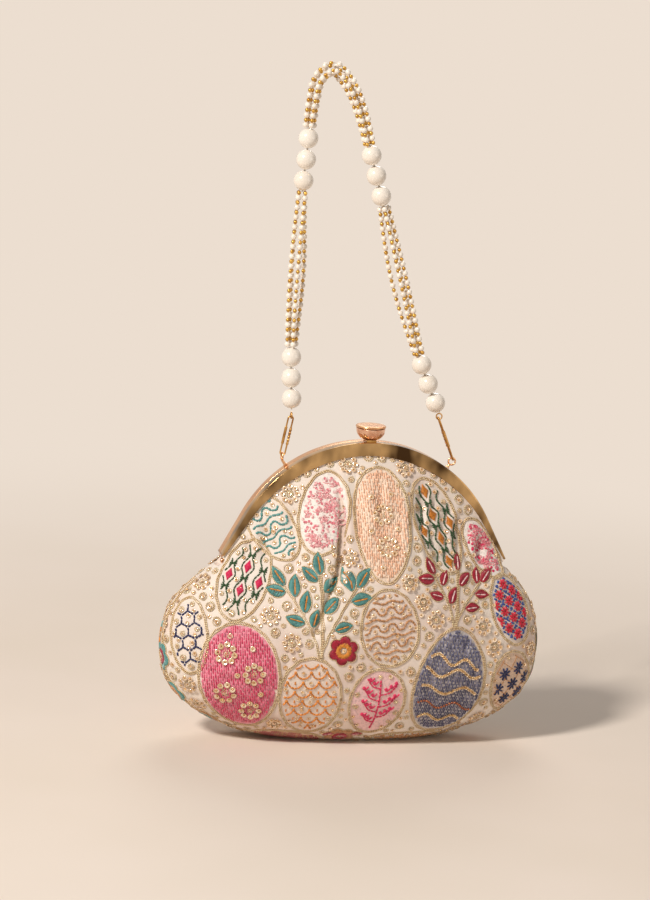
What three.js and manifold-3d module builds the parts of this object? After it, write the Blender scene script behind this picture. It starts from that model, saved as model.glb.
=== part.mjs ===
// Evening clutch: padded embroidered pouch on a hinged metal frame, with a lift-up catch knob
// and a raised handle of pearls and bead strands on two clip hooks.
// Millimetres, +Z up, front faces -Y, origin under the middle of the base.

import * as THREE from 'three';
import { mergeVertices } from 'three/addons/utils/BufferGeometryUtils.js';
import Module from 'manifold-3d';

// Frame
const FRAME_RADIUS = 85; // outer radius of the arched top
const FRAME_TOP = 182; // height of the arch above the base
const ARCH_HALF_ANGLE = 62; // degrees each side of the top where the arch turns into a straight leg
const LEG_LENGTH = 28;
const FRAME_DEPTH = 14; // front face to back face, both jaws closed
const JAW_GAP = 0.4; // between the closed jaws
const BAND_HEIGHT = 10.5; // the polished band that shows
const INNER_FLANGE = 6; // height of each jaw's inner flange
const FRAME_WALL = 0.8;

// Hinge
const EAR_RADIUS = 2.2;
const EAR_DROP = 4.6; // hinge line below the end of the rim
const EAR_THICKNESS = 0.8;
const EAR_INSET = 2.5; // rim end to the outer ear
const RIVET_RADIUS = 0.8;
const RIVET_HEAD_RADIUS = 1.6;
const RIVET_HEAD_HEIGHT = 0.9;

// Pouch
const BAG_WIDTH = 227;
const BAG_DEPTH = 84;
const WIDEST_HEIGHT = 58; // height at which the pouch is widest
const BASE_SQUARENESS = 2.4; // exponent of the curve round the lower half
const SEAM_START_OUT = 2.3; // the side seam starts beside the hinge, this far beyond the end of the rim
const SEAM_START_DROP = 6.7; // and this far below it
const BASE_FLAT = 2; // depth pressed flat where the pouch stands
const PANEL_THICKNESS = 1.1;
const LINING_THICKNESS = 0.5;
const LINING_GAP = 0.9;
const FULLEST = 0.62; // share of the way from frame to seam where the panel stands out most
const PANEL_ROUNDNESS = 2.2;
const CLOTH_OVERRUN = 1.2; // how far the cloth edge runs past the end of each leg
const PLEATS = 10;
const PLEAT_HEIGHT = 0.9;
const FOLD_SHARE = 0.385; // where one deep fold starts, as a share of the way along the frame
const FOLD_DEPTH = 2.6;
const FOLD_WIDTH = 0.018;

// Catch
const KNOB_TOP_RADIUS = 9.2;
const KNOB_BASE_RADIUS = 5.25;
const KNOB_CUP_HEIGHT = 6.6;
const KNOB_CAP_HEIGHT = 1.6;
const STEM_RADIUS = 0.8;
const TONGUE_WIDTH = 6;
const TONGUE_THICKNESS = 0.8;
const CATCH_SLOT_Y = -3.8;
const CATCH_DEPTH = 1.2; // how far the lip reaches below the rim face
const KNOB_LIFT = 1.8; // travel that clears the lip

// Hooks and rings
const EYELET_X = 52.9;
const EYELET_RISE = 8.47; // from the rim below to the line the pouch swings on
const EYELET_RING_RADIUS = 2.15; // to the middle of the wire
const EYELET_WIRE = 0.55;
const POST_WIDTH = 3;
const HOOK_RISE = 23.5; // height between the hook's two bearing lines
const HOOK_WIRE = 0.5;
const HOOK_HALF_WIDTH = 1.5; // middle of the wire to the hook's centre line
const SLEEVE_LENGTH = 10.6;
const SLEEVE_RADIUS = 0.85;
const GATE_RIBS = 5;
const HOOK_MOUTH = 3; // gap in the wire that the closed gate covers
const GATE_COVER = 0.7; // how far the closed gate reaches below the gap
const HOOK_TOP_X_LEFT = -48.7;
const HOOK_TOP_X_RIGHT = 43;
const JUMP_RING_RADIUS = 1.8;
const JUMP_WIRE = 0.4;

// Handle
const PEARL_RADIUS = 6;
const PEARL_BORE = 0.9;
const PEARL_PITCH = 12.6;
const THREAD_RADIUS = 0.55;
const STRAND_COUNT = 4;
const BEAD_RADIUS = 1.75;
const SEED_RADIUS = 1.1;
const NECK_RADIUS = 0.55;
const BEAD_PITCH = 5.6;
const STRAND_OFFSET = 2.7;
const HANDLE_TOP = 404.5; // middle of the strands where they are gripped

const CLEARANCE = 0.3;

// Values that follow from the sizes above
const HALF_DEPTH = FRAME_DEPTH / 2;
const ARCH_CENTRE = FRAME_TOP - FRAME_RADIUS;
const EYELET_Y = (HALF_DEPTH + JAW_GAP / 2) / 2;
const FABRIC_FACE = HALF_DEPTH - FRAME_WALL - CLEARANCE;
const EYELET_LINE = ARCH_CENTRE + Math.sqrt(FRAME_RADIUS ** 2 - EYELET_X ** 2) + EYELET_RISE;
const HOOK_LINE = EYELET_LINE + HOOK_RISE;

const wasm = await Module();
wasm.setup();

const material = (color, roughness, metalness) => new THREE.MeshStandardMaterial({ color, roughness, metalness });
const MIRROR_BRASS = material(0xc79a5b, 0.16, 1);
const ROSE_GOLD = material(0xd9a27c, 0.22, 1);
const CLIP_GOLD = material(0xc8963f, 0.25, 1);
const EMBROIDERED = material(0xe9d6c6, 0.85, 0);
const LINING = material(0xe6d3bd, 0.6, 0);
const PEARL = material(0xf3ebe0, 0.22, 0);
const THREAD = material(0xe6dcc6, 0.8, 0);
const BEADS = material(0xe0c078, 0.3, 0.4);

// Geometry helpers

// A closed body from rings of points; open ends are capped with the triangles given.
function loft(rings, closed, caps = []) {
  const sides = rings[0].length;
  const index = [];
  const spans = closed ? rings.length : rings.length - 1;
  for (let i = 0; i < spans; i++) {
    const here = i * sides;
    const next = ((i + 1) % rings.length) * sides;
    for (let j = 0; j < sides; j++) {
      const k = (j + 1) % sides;
      index.push(here + j, here + k, next + k, here + j, next + k, next + j);
    }
  }
  const last = (rings.length - 1) * sides;
  for (const [a, b, c] of caps) {
    index.push(a, c, b, last + a, last + b, last + c);
  }
  return facingOut(rings.flat(), index);
}

// An indexed geometry whose faces point out of the body.
function facingOut(points, index) {
  let volume = 0;
  for (let i = 0; i < index.length; i += 3) {
    const [a, b, c] = [points[index[i]], points[index[i + 1]], points[index[i + 2]]];
    volume += a.dot(new THREE.Vector3().crossVectors(b, c));
  }
  if (volume < 0) {
    index.reverse();
  }
  const geometry = new THREE.BufferGeometry().setFromPoints(points);
  geometry.setIndex(index);
  return geometry;
}

// Triangles that fill a section, turned the same way round as its outline.
function capOf(section) {
  const outline = section.map(([a, b]) => new THREE.Vector2(a, b));
  const turn = THREE.ShapeUtils.area(outline);
  return THREE.ShapeUtils.triangulateShape(outline, []).map(([a, b, c]) => {
    const same = THREE.ShapeUtils.area([outline[a], outline[b], outline[c]]) * turn > 0;
    return same ? [a, b, c] : [a, c, b];
  });
}

// Sweeps a section of (outward, Y) pairs along path points that carry their outward normal.
function sweep(section, path, closed = false) {
  const rings = path.map((p) => section.map(([a, b]) => new THREE.Vector3(p.x + a * p.nx, b, p.z + a * p.nz)));
  return loft(rings, closed, closed ? [] : capOf(section));
}

function roundSection(radius, sides) {
  return Array.from({ length: sides }, (_, i) => {
    const angle = (2 * Math.PI * (i + 0.5)) / sides;
    return [radius * Math.cos(angle), radius * Math.sin(angle)];
  });
}

function toSolid(geometry) {
  const plain = geometry.clone();
  plain.deleteAttribute('normal');
  plain.deleteAttribute('uv');
  const merged = mergeVertices(plain, 1e-4);
  return new wasm.Manifold(new wasm.Mesh({
    numProp: 3,
    vertProperties: new Float32Array(merged.attributes.position.array),
    triVerts: new Uint32Array(merged.index.array),
  }));
}

function toGeometry(solid) {
  const mesh = solid.getMesh();
  const geometry = new THREE.BufferGeometry();
  geometry.setAttribute('position', new THREE.BufferAttribute(new Float32Array(mesh.vertProperties), 3));
  geometry.setIndex(new THREE.BufferAttribute(new Uint32Array(mesh.triVerts), 1));
  return geometry;
}

function block(x, y, z) {
  const box = new THREE.BoxGeometry(x[1] - x[0], y[1] - y[0], z[1] - z[0]);
  return box.translate((x[0] + x[1]) / 2, (y[0] + y[1]) / 2, (z[0] + z[1]) / 2);
}

// A cylinder along X or Z from one place to another.
function rod(axis, radius, from, to, at, sides = 16) {
  const cylinder = new THREE.CylinderGeometry(radius, radius, to - from, sides);
  if (axis === 'x') {
    return cylinder.rotateZ(Math.PI / 2).translate((from + to) / 2, at[0], at[1]);
  }
  return cylinder.rotateX(Math.PI / 2).translate(at[0], at[1], (from + to) / 2);
}

// A turned body about Z from radius and height pairs.
function turned(profile, sides) {
  return new THREE.LatheGeometry(profile.map(([r, z]) => new THREE.Vector2(r, z)), sides).rotateX(Math.PI / 2);
}

const clutch = new THREE.Group();

function addMesh(name, geometry, look) {
  const mesh = new THREE.Mesh(geometry, look);
  mesh.name = name;
  clutch.add(mesh);
  return mesh;
}

// Frame outline: left leg, arch, right leg

const archAngle = THREE.MathUtils.degToRad(ARCH_HALF_ANGLE);

function framePoint(share, inset) {
  const half = FRAME_RADIUS * archAngle + LEG_LENGTH;
  const along = (2 * share - 1) * half;
  const side = Math.sign(along) || 1;
  const angle = Math.min(Math.abs(along) / FRAME_RADIUS, archAngle);
  const down = Math.max(Math.abs(along) - FRAME_RADIUS * archAngle, 0);
  const normal = { nx: side * Math.sin(angle), nz: Math.cos(angle) };
  const radius = FRAME_RADIUS - inset;
  return {
    x: radius * normal.nx + side * down * Math.cos(angle),
    z: ARCH_CENTRE + radius * normal.nz - down * Math.sin(angle),
    ...normal,
  };
}

function framePath(steps) {
  const half = FRAME_RADIUS * archAngle + LEG_LENGTH;
  const legShare = LEG_LENGTH / (2 * half);
  const shares = [0];
  for (let i = 0; i <= steps; i++) {
    shares.push(legShare + ((1 - 2 * legShare) * i) / steps);
  }
  shares.push(1);
  return shares.map((share) => framePoint(share, 0));
}

// Each jaw is a folded channel: the wide band outside, the rim across the top and a short flange inside.
function jawSection(side) {
  const near = JAW_GAP / 2;
  const section = [
    [0, near],
    [0, HALF_DEPTH - 0.5],
    [-0.5, HALF_DEPTH],
    [-BAND_HEIGHT, HALF_DEPTH],
    [-BAND_HEIGHT, HALF_DEPTH - FRAME_WALL],
    [-FRAME_WALL, HALF_DEPTH - FRAME_WALL],
    [-FRAME_WALL, near + FRAME_WALL],
    [-INNER_FLANGE, near + FRAME_WALL],
    [-INNER_FLANGE, near],
  ];
  return section.map(([a, b]) => [a, side * b]);
}

const rimEnd = framePoint(1, 0);
const hingeHeight = rimEnd.z - EAR_DROP;
const outerEar = [rimEnd.x - EAR_INSET, rimEnd.x - EAR_INSET + EAR_THICKNESS];
const innerEar = [outerEar[0] - CLEARANCE - EAR_THICKNESS, outerEar[0] - CLEARANCE];

// A hinge ear: a round end on the hinge line with a neck up into its jaw's channel.
function hingeEar(side, x, jawSide) {
  const span = side > 0 ? x : [-x[1], -x[0]];
  const reach = [JAW_GAP / 2, HALF_DEPTH - FRAME_WALL - 1.6].map((y) => jawSide * y).sort((a, b) => a - b);
  const neckTop = rimEnd.z + (rimEnd.x - x[1]) * Math.tan(archAngle) - FRAME_WALL / 2;
  const neck = block(span, reach, [hingeHeight - 0.4 * EAR_RADIUS, neckTop]);
  return toSolid(rod('x', EAR_RADIUS, span[0], span[1], [0, hingeHeight], 20)).add(toSolid(neck));
}

// The stem hangs in the back channel between the inner flange and the lining's edge.
const stemRoom = [JAW_GAP / 2 + FRAME_WALL, FABRIC_FACE - PANEL_THICKNESS - CLEARANCE - LINING_THICKNESS];
const stemY = (stemRoom[0] + stemRoom[1]) / 2;
const washerRadius = (stemRoom[1] - stemRoom[0]) / 2 - CLEARANCE;
const slotY = [CATCH_SLOT_Y - TONGUE_THICKNESS / 2 - CLEARANCE, CATCH_SLOT_Y + TONGUE_THICKNESS / 2 + CLEARANCE];

function jaw(jawSide) {
  let solid = toSolid(sweep(jawSection(jawSide), framePath(18)));
  for (const side of [-1, 1]) {
    solid = solid.add(hingeEar(side, jawSide < 0 ? innerEar : outerEar, jawSide));
    const bore = rod('x', RIVET_RADIUS + CLEARANCE, side * outerEar[1] - 4, side * outerEar[1] + 4, [0, hingeHeight]);
    solid = solid.subtract(toSolid(bore));
  }
  return solid;
}

const rimBand = [FRAME_TOP - FRAME_WALL - 1, FRAME_TOP + 1];
const catchSlot = block([-TONGUE_WIDTH / 2 - CLEARANCE, TONGUE_WIDTH / 2 + CLEARANCE], slotY, rimBand);
const stemHole = rod('z', STEM_RADIUS + CLEARANCE, rimBand[0], rimBand[1], [0, stemY], 20);
addMesh('front_jaw', toGeometry(jaw(-1).subtract(toSolid(catchSlot))), MIRROR_BRASS);
addMesh('back_jaw', toGeometry(jaw(1).subtract(toSolid(stemHole))), ROSE_GOLD);

for (const [name, side] of [['hinge_rivet_left', -1], ['hinge_rivet_right', 1]]) {
  const inside = innerEar[0] - CLEARANCE;
  const outside = outerEar[1] + CLEARANCE;
  const profile = [
    [0, inside - RIVET_HEAD_HEIGHT],
    [RIVET_HEAD_RADIUS, inside - RIVET_HEAD_HEIGHT],
    [RIVET_HEAD_RADIUS, inside],
    [RIVET_RADIUS, inside],
    [RIVET_RADIUS, outside],
    [RIVET_HEAD_RADIUS, outside],
    [0.7 * RIVET_HEAD_RADIUS, outside + RIVET_HEAD_HEIGHT],
    [0, outside + RIVET_HEAD_HEIGHT],
  ];
  const rivet = turned(profile, 10).rotateY((side * Math.PI) / 2).translate(0, 0, hingeHeight);
  addMesh(name, rivet, ROSE_GOLD);
}

// Catch: a knob on a stem through the back rim, and a tongue whose lip drops into the front rim

const tongueBase = FRAME_TOP + CLEARANCE;
const knobBase = tongueBase + TONGUE_THICKNESS;
const lipY = [CATCH_SLOT_Y - TONGUE_THICKNESS / 2, CATCH_SLOT_Y + TONGUE_THICKNESS / 2];
const washerTop = FRAME_TOP - FRAME_WALL - CLEARANCE - KNOB_LIFT;

const tongue = toSolid(block([-TONGUE_WIDTH / 2, TONGUE_WIDTH / 2], [lipY[0], KNOB_BASE_RADIUS], [tongueBase, knobBase]))
  .add(toSolid(block([-TONGUE_WIDTH / 2, TONGUE_WIDTH / 2], lipY, [FRAME_TOP - CATCH_DEPTH, knobBase])))
  .subtract(toSolid(rod('z', STEM_RADIUS + CLEARANCE, tongueBase - 1, knobBase + 1, [0, stemY], 20)));
addMesh('catch_tongue', toGeometry(tongue), CLIP_GOLD);

const stemProfile = [
  [0, washerTop - 0.8],
  [washerRadius, washerTop - 0.8],
  [washerRadius, washerTop],
  [STEM_RADIUS, washerTop],
  [STEM_RADIUS, knobBase],
  [0, knobBase],
];
addMesh('clasp_stem', turned(stemProfile, 16).translate(0, stemY, 0), CLIP_GOLD);

const cupBase = knobBase + CLEARANCE;
const cupProfile = [
  [0, 0],
  [KNOB_BASE_RADIUS - 0.3, 0],
  [KNOB_BASE_RADIUS + 0.6, 0.5],
  [KNOB_BASE_RADIUS + 1.7, 1.5],
  [KNOB_TOP_RADIUS - 1.3, 3],
  [KNOB_TOP_RADIUS - 0.7, 4.8],
  [KNOB_TOP_RADIUS - 0.4, KNOB_CUP_HEIGHT],
  [0, KNOB_CUP_HEIGHT],
];
addMesh('clasp_knob_cup', turned(cupProfile, 24).translate(0, 0, cupBase), ROSE_GOLD);

const capProfile = [
  [0, 0],
  [KNOB_TOP_RADIUS - 0.5, 0],
  [KNOB_TOP_RADIUS, 0.4],
  [KNOB_TOP_RADIUS, KNOB_CAP_HEIGHT - 0.5],
  [KNOB_TOP_RADIUS - 0.6, KNOB_CAP_HEIGHT],
  [0, KNOB_CAP_HEIGHT],
];
const capBase = cupBase + KNOB_CUP_HEIGHT + CLEARANCE;
addMesh('clasp_knob_cap', turned(capProfile, 24).translate(0, 0, capBase), ROSE_GOLD);

// Pouch: front and back panels bulging from the frame to a seam round the sides and base

const halfWidth = BAG_WIDTH / 2;
const seamStart = new THREE.Vector2(rimEnd.x + SEAM_START_OUT, rimEnd.z - SEAM_START_DROP);
const seamCurve = new THREE.CubicBezierCurve(
  seamStart,
  seamStart.clone().add(new THREE.Vector2(11, -10)),
  new THREE.Vector2(halfWidth, WIDEST_HEIGHT + 24),
  new THREE.Vector2(halfWidth, WIDEST_HEIGHT),
);

function seamOutline() {
  const right = seamCurve.getPoints(24);
  const steps = 60;
  for (let i = 1; i <= steps; i++) {
    const angle = ((Math.PI / 2) * i) / steps;
    right.push(new THREE.Vector2(
      halfWidth * Math.max(Math.cos(angle), 0) ** (2 / BASE_SQUARENESS),
      WIDEST_HEIGHT - (WIDEST_HEIGHT + BASE_FLAT) * Math.sin(angle) ** (2 / BASE_SQUARENESS),
    ));
  }
  const left = right.slice(0, -1).map((p) => new THREE.Vector2(-p.x, p.y));
  return [...left, ...right.reverse()];
}

// Evenly spaced reading of a polyline: share 0 to 1 gives a point and the direction of travel.
function reader(points) {
  const lengths = [0];
  for (let i = 1; i < points.length; i++) {
    lengths.push(lengths[i - 1] + points[i].distanceTo(points[i - 1]));
  }
  const total = lengths[lengths.length - 1];
  return {
    total,
    at(distance) {
      const wanted = Math.min(Math.max(distance, 0), total);
      let i = 1;
      while (i < points.length - 1 && lengths[i] < wanted) {
        i += 1;
      }
      const span = lengths[i] - lengths[i - 1];
      const point = points[i - 1].clone().lerp(points[i], (wanted - lengths[i - 1]) / span);
      return { point, along: points[i].clone().sub(points[i - 1]).normalize() };
    },
  };
}

const seam = reader(seamOutline());
const edgeInset = FRAME_WALL + CLEARANCE + 0.2; // top edge of the cloth inside the channel

// The line that the cloth follows, seen from the front, from the channel out to the seam.
function column(share) {
  const top = framePoint(0.5 + (share - 0.5) * (1 + CLOTH_OVERRUN / (FRAME_RADIUS * archAngle + LEG_LENGTH)), edgeInset);
  const { point, along } = seam.at(share * seam.total);
  const outward = new THREE.Vector2(along.y, -along.x);
  const start = new THREE.Vector2(top.x, top.z);
  const inward = new THREE.Vector2(-top.nx, -top.nz);
  const channel = 1 + BAND_HEIGHT - edgeInset;
  const exit = start.clone().addScaledVector(inward, channel);
  const reach = exit.distanceTo(point);
  const curve = new THREE.CubicBezierCurve(
    exit,
    exit.clone().addScaledVector(inward, 1 + 0.3 * reach),
    point.clone().addScaledVector(outward, -0.3 * reach),
    point,
  );
  return { line: reader([start, ...curve.getPoints(40)]), channel };
}

const fullDepth = BAG_DEPTH / 2;
const rows = [0, 1, 1.15, 1.35, 1.6, 2, 2.25, 2.45, 2.62, 2.78, 2.9, 3];

// Cloth point from the share along the frame and a row: 0 to 1 lies in the channel,
// 1 to 2 swells out of it, 2 to 3 rolls round to the seam. Side -1 is the front.
function cloth(share, row, side, pleated) {
  const { line, channel } = columns(share);
  const swell = FABRIC_FACE + 0.5 + (fullDepth - FABRIC_FACE - 0.5) * Math.sin(Math.PI * share) ** 0.7;
  const free = line.total - channel;
  let distance = channel * Math.min(row, 1);
  let depth = FABRIC_FACE;
  if (row > 2) {
    const angle = Math.min((row - 2) * (Math.PI / 2), Math.PI / 2);
    const roll = Math.sin(angle) ** (2 / PANEL_ROUNDNESS);
    distance = channel + free * (FULLEST + (1 - FULLEST) * roll);
    depth = swell * Math.max(Math.cos(angle), 0) ** (2 / PANEL_ROUNDNESS);
  } else if (row > 1) {
    distance = channel + free * FULLEST * (row - 1);
    depth = FABRIC_FACE + (swell - FABRIC_FACE) * Math.sin((Math.PI / 2) * (row - 1));
  }
  if (side < 0 && row > 1 && row < 2) {
    const groove = Math.exp(-(((share - FOLD_SHARE) / FOLD_WIDTH) ** 2));
    depth -= FOLD_DEPTH * groove * Math.sin(Math.PI * Math.min((row - 1) * 1.3, 1));
  }
  if (pleated && row > 1 && row < 2) {
    const fade = Math.sin(Math.PI * Math.min((row - 1) * 2.2, 1)) * Math.sin(Math.PI * share) ** 0.5;
    depth += PLEAT_HEIGHT * (1 + Math.cos(2 * Math.PI * PLEATS * share)) * fade;
  }
  const { point } = line.at(distance);
  return new THREE.Vector3(point.x, side * depth, point.y);
}

const columnStore = new Map();

function columns(share) {
  if (!columnStore.has(share)) {
    columnStore.set(share, column(share));
  }
  return columnStore.get(share);
}

// The cloth surface moved inwards by a distance along its own normal.
function clothInside(share, row, side, pleated, inwards, floor) {
  const step = 0.004;
  const here = cloth(share, row, side, pleated);
  if (inwards === 0) {
    here.z = Math.max(here.z, floor);
    return here;
  }
  const a = cloth(Math.max(share - step, 0), row, side, pleated);
  const b = cloth(Math.min(share + step, 1), row, side, pleated);
  const c = cloth(share, Math.max(row - 0.02, 0), side, pleated);
  const d = cloth(share, Math.min(row + 0.02, 3), side, pleated);
  const normal = b.sub(a).cross(d.sub(c)).normalize().multiplyScalar(-side);
  if (row <= 1) {
    normal.set(0, -side, 0);
  }
  if (row === 3) {
    normal.y = 0;
    normal.normalize();
  }
  here.addScaledVector(normal, inwards);
  here.z = Math.max(here.z, floor + inwards);
  return here;
}

// A closed sheet between two grids of points of the same size.
function sheet(outer, inner) {
  const rowCount = outer.length;
  const perRow = outer[0].length;
  const points = [...outer.flat(), ...inner.flat()];
  const back = rowCount * perRow;
  const index = [];
  const quad = (a, b, c, d) => index.push(a, b, c, a, c, d);
  for (let i = 0; i < rowCount - 1; i++) {
    for (let j = 0; j < perRow - 1; j++) {
      const p = i * perRow + j;
      quad(p, p + 1, p + perRow + 1, p + perRow);
      quad(back + p, back + p + perRow, back + p + perRow + 1, back + p + 1);
    }
    const left = i * perRow;
    const right = left + perRow - 1;
    quad(left, left + perRow, back + left + perRow, back + left);
    quad(right, back + right, back + right + perRow, right + perRow);
  }
  for (let j = 0; j < perRow - 1; j++) {
    const last = (rowCount - 1) * perRow + j;
    quad(j, back + j, back + j + 1, j + 1);
    quad(last, last + 1, back + last + 1, back + last);
  }
  return facingOut(points, index);
}

const COLUMNS = 30;
const folded = [FOLD_SHARE - 1.3 * FOLD_WIDTH, FOLD_SHARE, FOLD_SHARE + 1.3 * FOLD_WIDTH];

// Evenly spaced shares along the frame, with three more at the fold
function sharesFor(count, first, last) {
  const evenly = Array.from({ length: last - first + 1 }, (_, i) => (first + i) / count);
  const away = evenly.filter((share) => Math.abs(share - FOLD_SHARE) > 1.6 * FOLD_WIDTH);
  return [...away, ...folded].sort((a, b) => a - b);
}

function panel(side) {
  const grid = (inwards) => sharesFor(COLUMNS, 0, COLUMNS).map((share) => rows.map((row) => {
    const point = clothInside(share, row, side, true, inwards, 0);
    if (row === 3) {
      point.y = (side * CLEARANCE) / 2;
    }
    return point;
  }));
  return sheet(grid(0), grid(PANEL_THICKNESS));
}

addMesh('front_panel', panel(-1), EMBROIDERED);
addMesh('back_panel', panel(1), EMBROIDERED);

// Lining: one bag of thin cloth inside both panels, open along the frame.
function lining() {
  const liningRows = [0, 1, 1.15, 1.35, 1.6, 2, 2.45, 2.78];
  const round = [
    ...liningRows.map((row) => [row, -1]),
    [3, -1],
    ...liningRows.map((row) => [row, 1]).reverse(),
  ];
  const grid = (extra) => sharesFor(16, 1, 15).map((share) => round.map(([row, side]) => {
    const inwards = PANEL_THICKNESS + (row <= 1 ? CLEARANCE : LINING_GAP) + extra;
    return clothInside(share, row, side, false, inwards, 0);
  }));
  return sheet(grid(0), grid(LINING_THICKNESS));
}

addMesh('lining', lining(), LINING);

// Eyelets on the back rim; the left ring stands across the frame and the right one along it

function loop(halfLength, radius, wire, sides, steps) {
  const path = [];
  for (let i = 0; i < 2 * steps; i++) {
    const angle = (Math.PI * (i + 0.5)) / steps;
    const end = Math.sin(angle) >= 0 ? halfLength : -halfLength;
    path.push({
      x: radius * Math.cos(angle),
      z: end + radius * Math.sin(angle),
      nx: Math.cos(angle),
      nz: Math.sin(angle),
    });
  }
  return sweep(roundSection(wire, sides), path, true);
}

const hookBearing = EYELET_RING_RADIUS - EYELET_WIRE - CLEARANCE - HOOK_WIRE;
for (const [name, side] of [['eyelet_left', -1], ['eyelet_right', 1]]) {
  const across = side < 0;
  const ringHeight = EYELET_LINE - (across ? hookBearing : EYELET_RING_RADIUS);
  const ring = loop(0, EYELET_RING_RADIUS, EYELET_WIRE, 6, 8);
  if (across) {
    ring.rotateZ(Math.PI / 2);
  }
  ring.translate(side * EYELET_X, EYELET_Y, ringHeight);
  const arch = new THREE.Vector3(0, EYELET_Y, ARCH_CENTRE);
  const centre = new THREE.Vector3(side * EYELET_X, EYELET_Y, ringHeight);
  const down = across ? new THREE.Vector3(0, 0, 1) : centre.clone().sub(arch).normalize();
  const head = centre.addScaledVector(down, -EYELET_RING_RADIUS).sub(arch);
  const post = block([-POST_WIDTH / 2, POST_WIDTH / 2], [-0.9, 0.9], [FRAME_RADIUS + CLEARANCE, head.length()]);
  post.rotateY(Math.atan2(head.x, head.z)).translate(arch.x, arch.y, arch.z);
  addMesh(name, toGeometry(toSolid(ring).add(toSolid(post))), ROSE_GOLD);
}

// Clip hooks: a long wire link with a smooth sleeve on one side and a ribbed sliding gate on the other

const hooks = [
  { side: -1, name: 'left', topX: HOOK_TOP_X_LEFT, turn: 0 },
  { side: 1, name: 'right', topX: HOOK_TOP_X_RIGHT, turn: Math.PI / 2 },
];
for (const hook of hooks) {
  const across = hook.turn === 0;
  const bottom = new THREE.Vector3(hook.side * EYELET_X, EYELET_Y, EYELET_LINE);
  const top = new THREE.Vector3(hook.topX, EYELET_Y, HOOK_LINE);
  const span = bottom.distanceTo(top);
  // Bearing lines pass through the wire ends seen flat, and through the bend centres seen edge-on.
  const halfLength = span / 2 - (across ? HOOK_HALF_WIDTH : 0);
  const place = new THREE.Matrix4()
    .makeTranslation(...bottom.clone().lerp(top, 0.5).toArray())
    .multiply(new THREE.Matrix4().makeRotationY(Math.atan2(top.x - bottom.x, top.z - bottom.z)))
    .multiply(new THREE.Matrix4().makeRotationZ(hook.turn));
  const mouth = block(
    [HOOK_HALF_WIDTH - 1, HOOK_HALF_WIDTH + 1],
    [-1, 1],
    [GATE_COVER - SLEEVE_LENGTH / 2, GATE_COVER - SLEEVE_LENGTH / 2 + HOOK_MOUTH],
  );
  const link = toSolid(loop(halfLength, HOOK_HALF_WIDTH, HOOK_WIRE, 6, 6)).subtract(toSolid(mouth));
  const sleeve = rod('z', SLEEVE_RADIUS, -SLEEVE_LENGTH / 2, SLEEVE_LENGTH / 2, [-HOOK_HALF_WIDTH, 0], 10);
  addMesh(`hook_${hook.name}`, toGeometry(link.add(toSolid(sleeve))).applyMatrix4(place), CLIP_GOLD);
  const ribs = [];
  const ribPitch = SLEEVE_LENGTH / (2 * GATE_RIBS);
  ribs.push([HOOK_WIRE + 0.15, -SLEEVE_LENGTH / 2]);
  for (let i = 0; i < GATE_RIBS; i++) {
    const base = -SLEEVE_LENGTH / 2 + 2 * i * ribPitch;
    ribs.push([SLEEVE_RADIUS, base], [SLEEVE_RADIUS, base + ribPitch], [SLEEVE_RADIUS - 0.15, base + 1.5 * ribPitch]);
  }
  ribs.push([HOOK_WIRE + 0.15, SLEEVE_LENGTH / 2], [HOOK_WIRE + 0.15, -SLEEVE_LENGTH / 2]);
  const gate = turned(ribs, 8).translate(HOOK_HALF_WIDTH, 0, 0);
  addMesh(`gate_${hook.name}`, gate.applyMatrix4(place), CLIP_GOLD);
  const ring = loop(0, JUMP_RING_RADIUS, JUMP_WIRE, 6, 6);
  if (across) {
    ring.rotateZ(Math.PI / 2);
  }
  const ringRise = across ? JUMP_RING_RADIUS - JUMP_WIRE - CLEARANCE - HOOK_WIRE : JUMP_RING_RADIUS;
  addMesh(`jump_ring_${hook.name}`, ring.translate(top.x, EYELET_Y, HOOK_LINE + ringRise), CLIP_GOLD);
}

// Handle route, from the left jump ring over the top to the right one

const ringTop = HOOK_LINE + 2 * JUMP_RING_RADIUS + JUMP_WIRE + CLEARANCE;

// The lie of the handle, as shares of the way from the left ring to the right one and up to its top
const handleShape = [
  [0, 0],
  [-0.0185, 0.1085],
  [-0.0349, 0.3039],
  [-0.0294, 0.5383],
  [-0.0044, 0.7435],
  [0.0164, 0.8999],
  [0.0469, 0.9682],
  [0.1385, 1.0000],
  [0.2323, 0.9658],
  [0.3184, 0.8999],
  [0.4711, 0.6898],
  [0.6783, 0.3918],
  [0.8473, 0.1524],
  [0.9400, 0.0547],
  [1, 0],
];
const route = new THREE.CatmullRomCurve3(handleShape.map(([across, up]) => new THREE.Vector3(
  HOOK_TOP_X_LEFT + (HOOK_TOP_X_RIGHT - HOOK_TOP_X_LEFT) * across,
  EYELET_Y,
  ringTop + (HANDLE_TOP - ringTop) * up,
)), false, 'centripetal');
const handle = reader(route.getPoints(400));

const firstPearl = PEARL_RADIUS + 0.5;
const groupSpan = 2 * PEARL_PITCH;
const bundleSpan = (handle.total - 2 * firstPearl - 4 * groupSpan) / 3;

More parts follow.
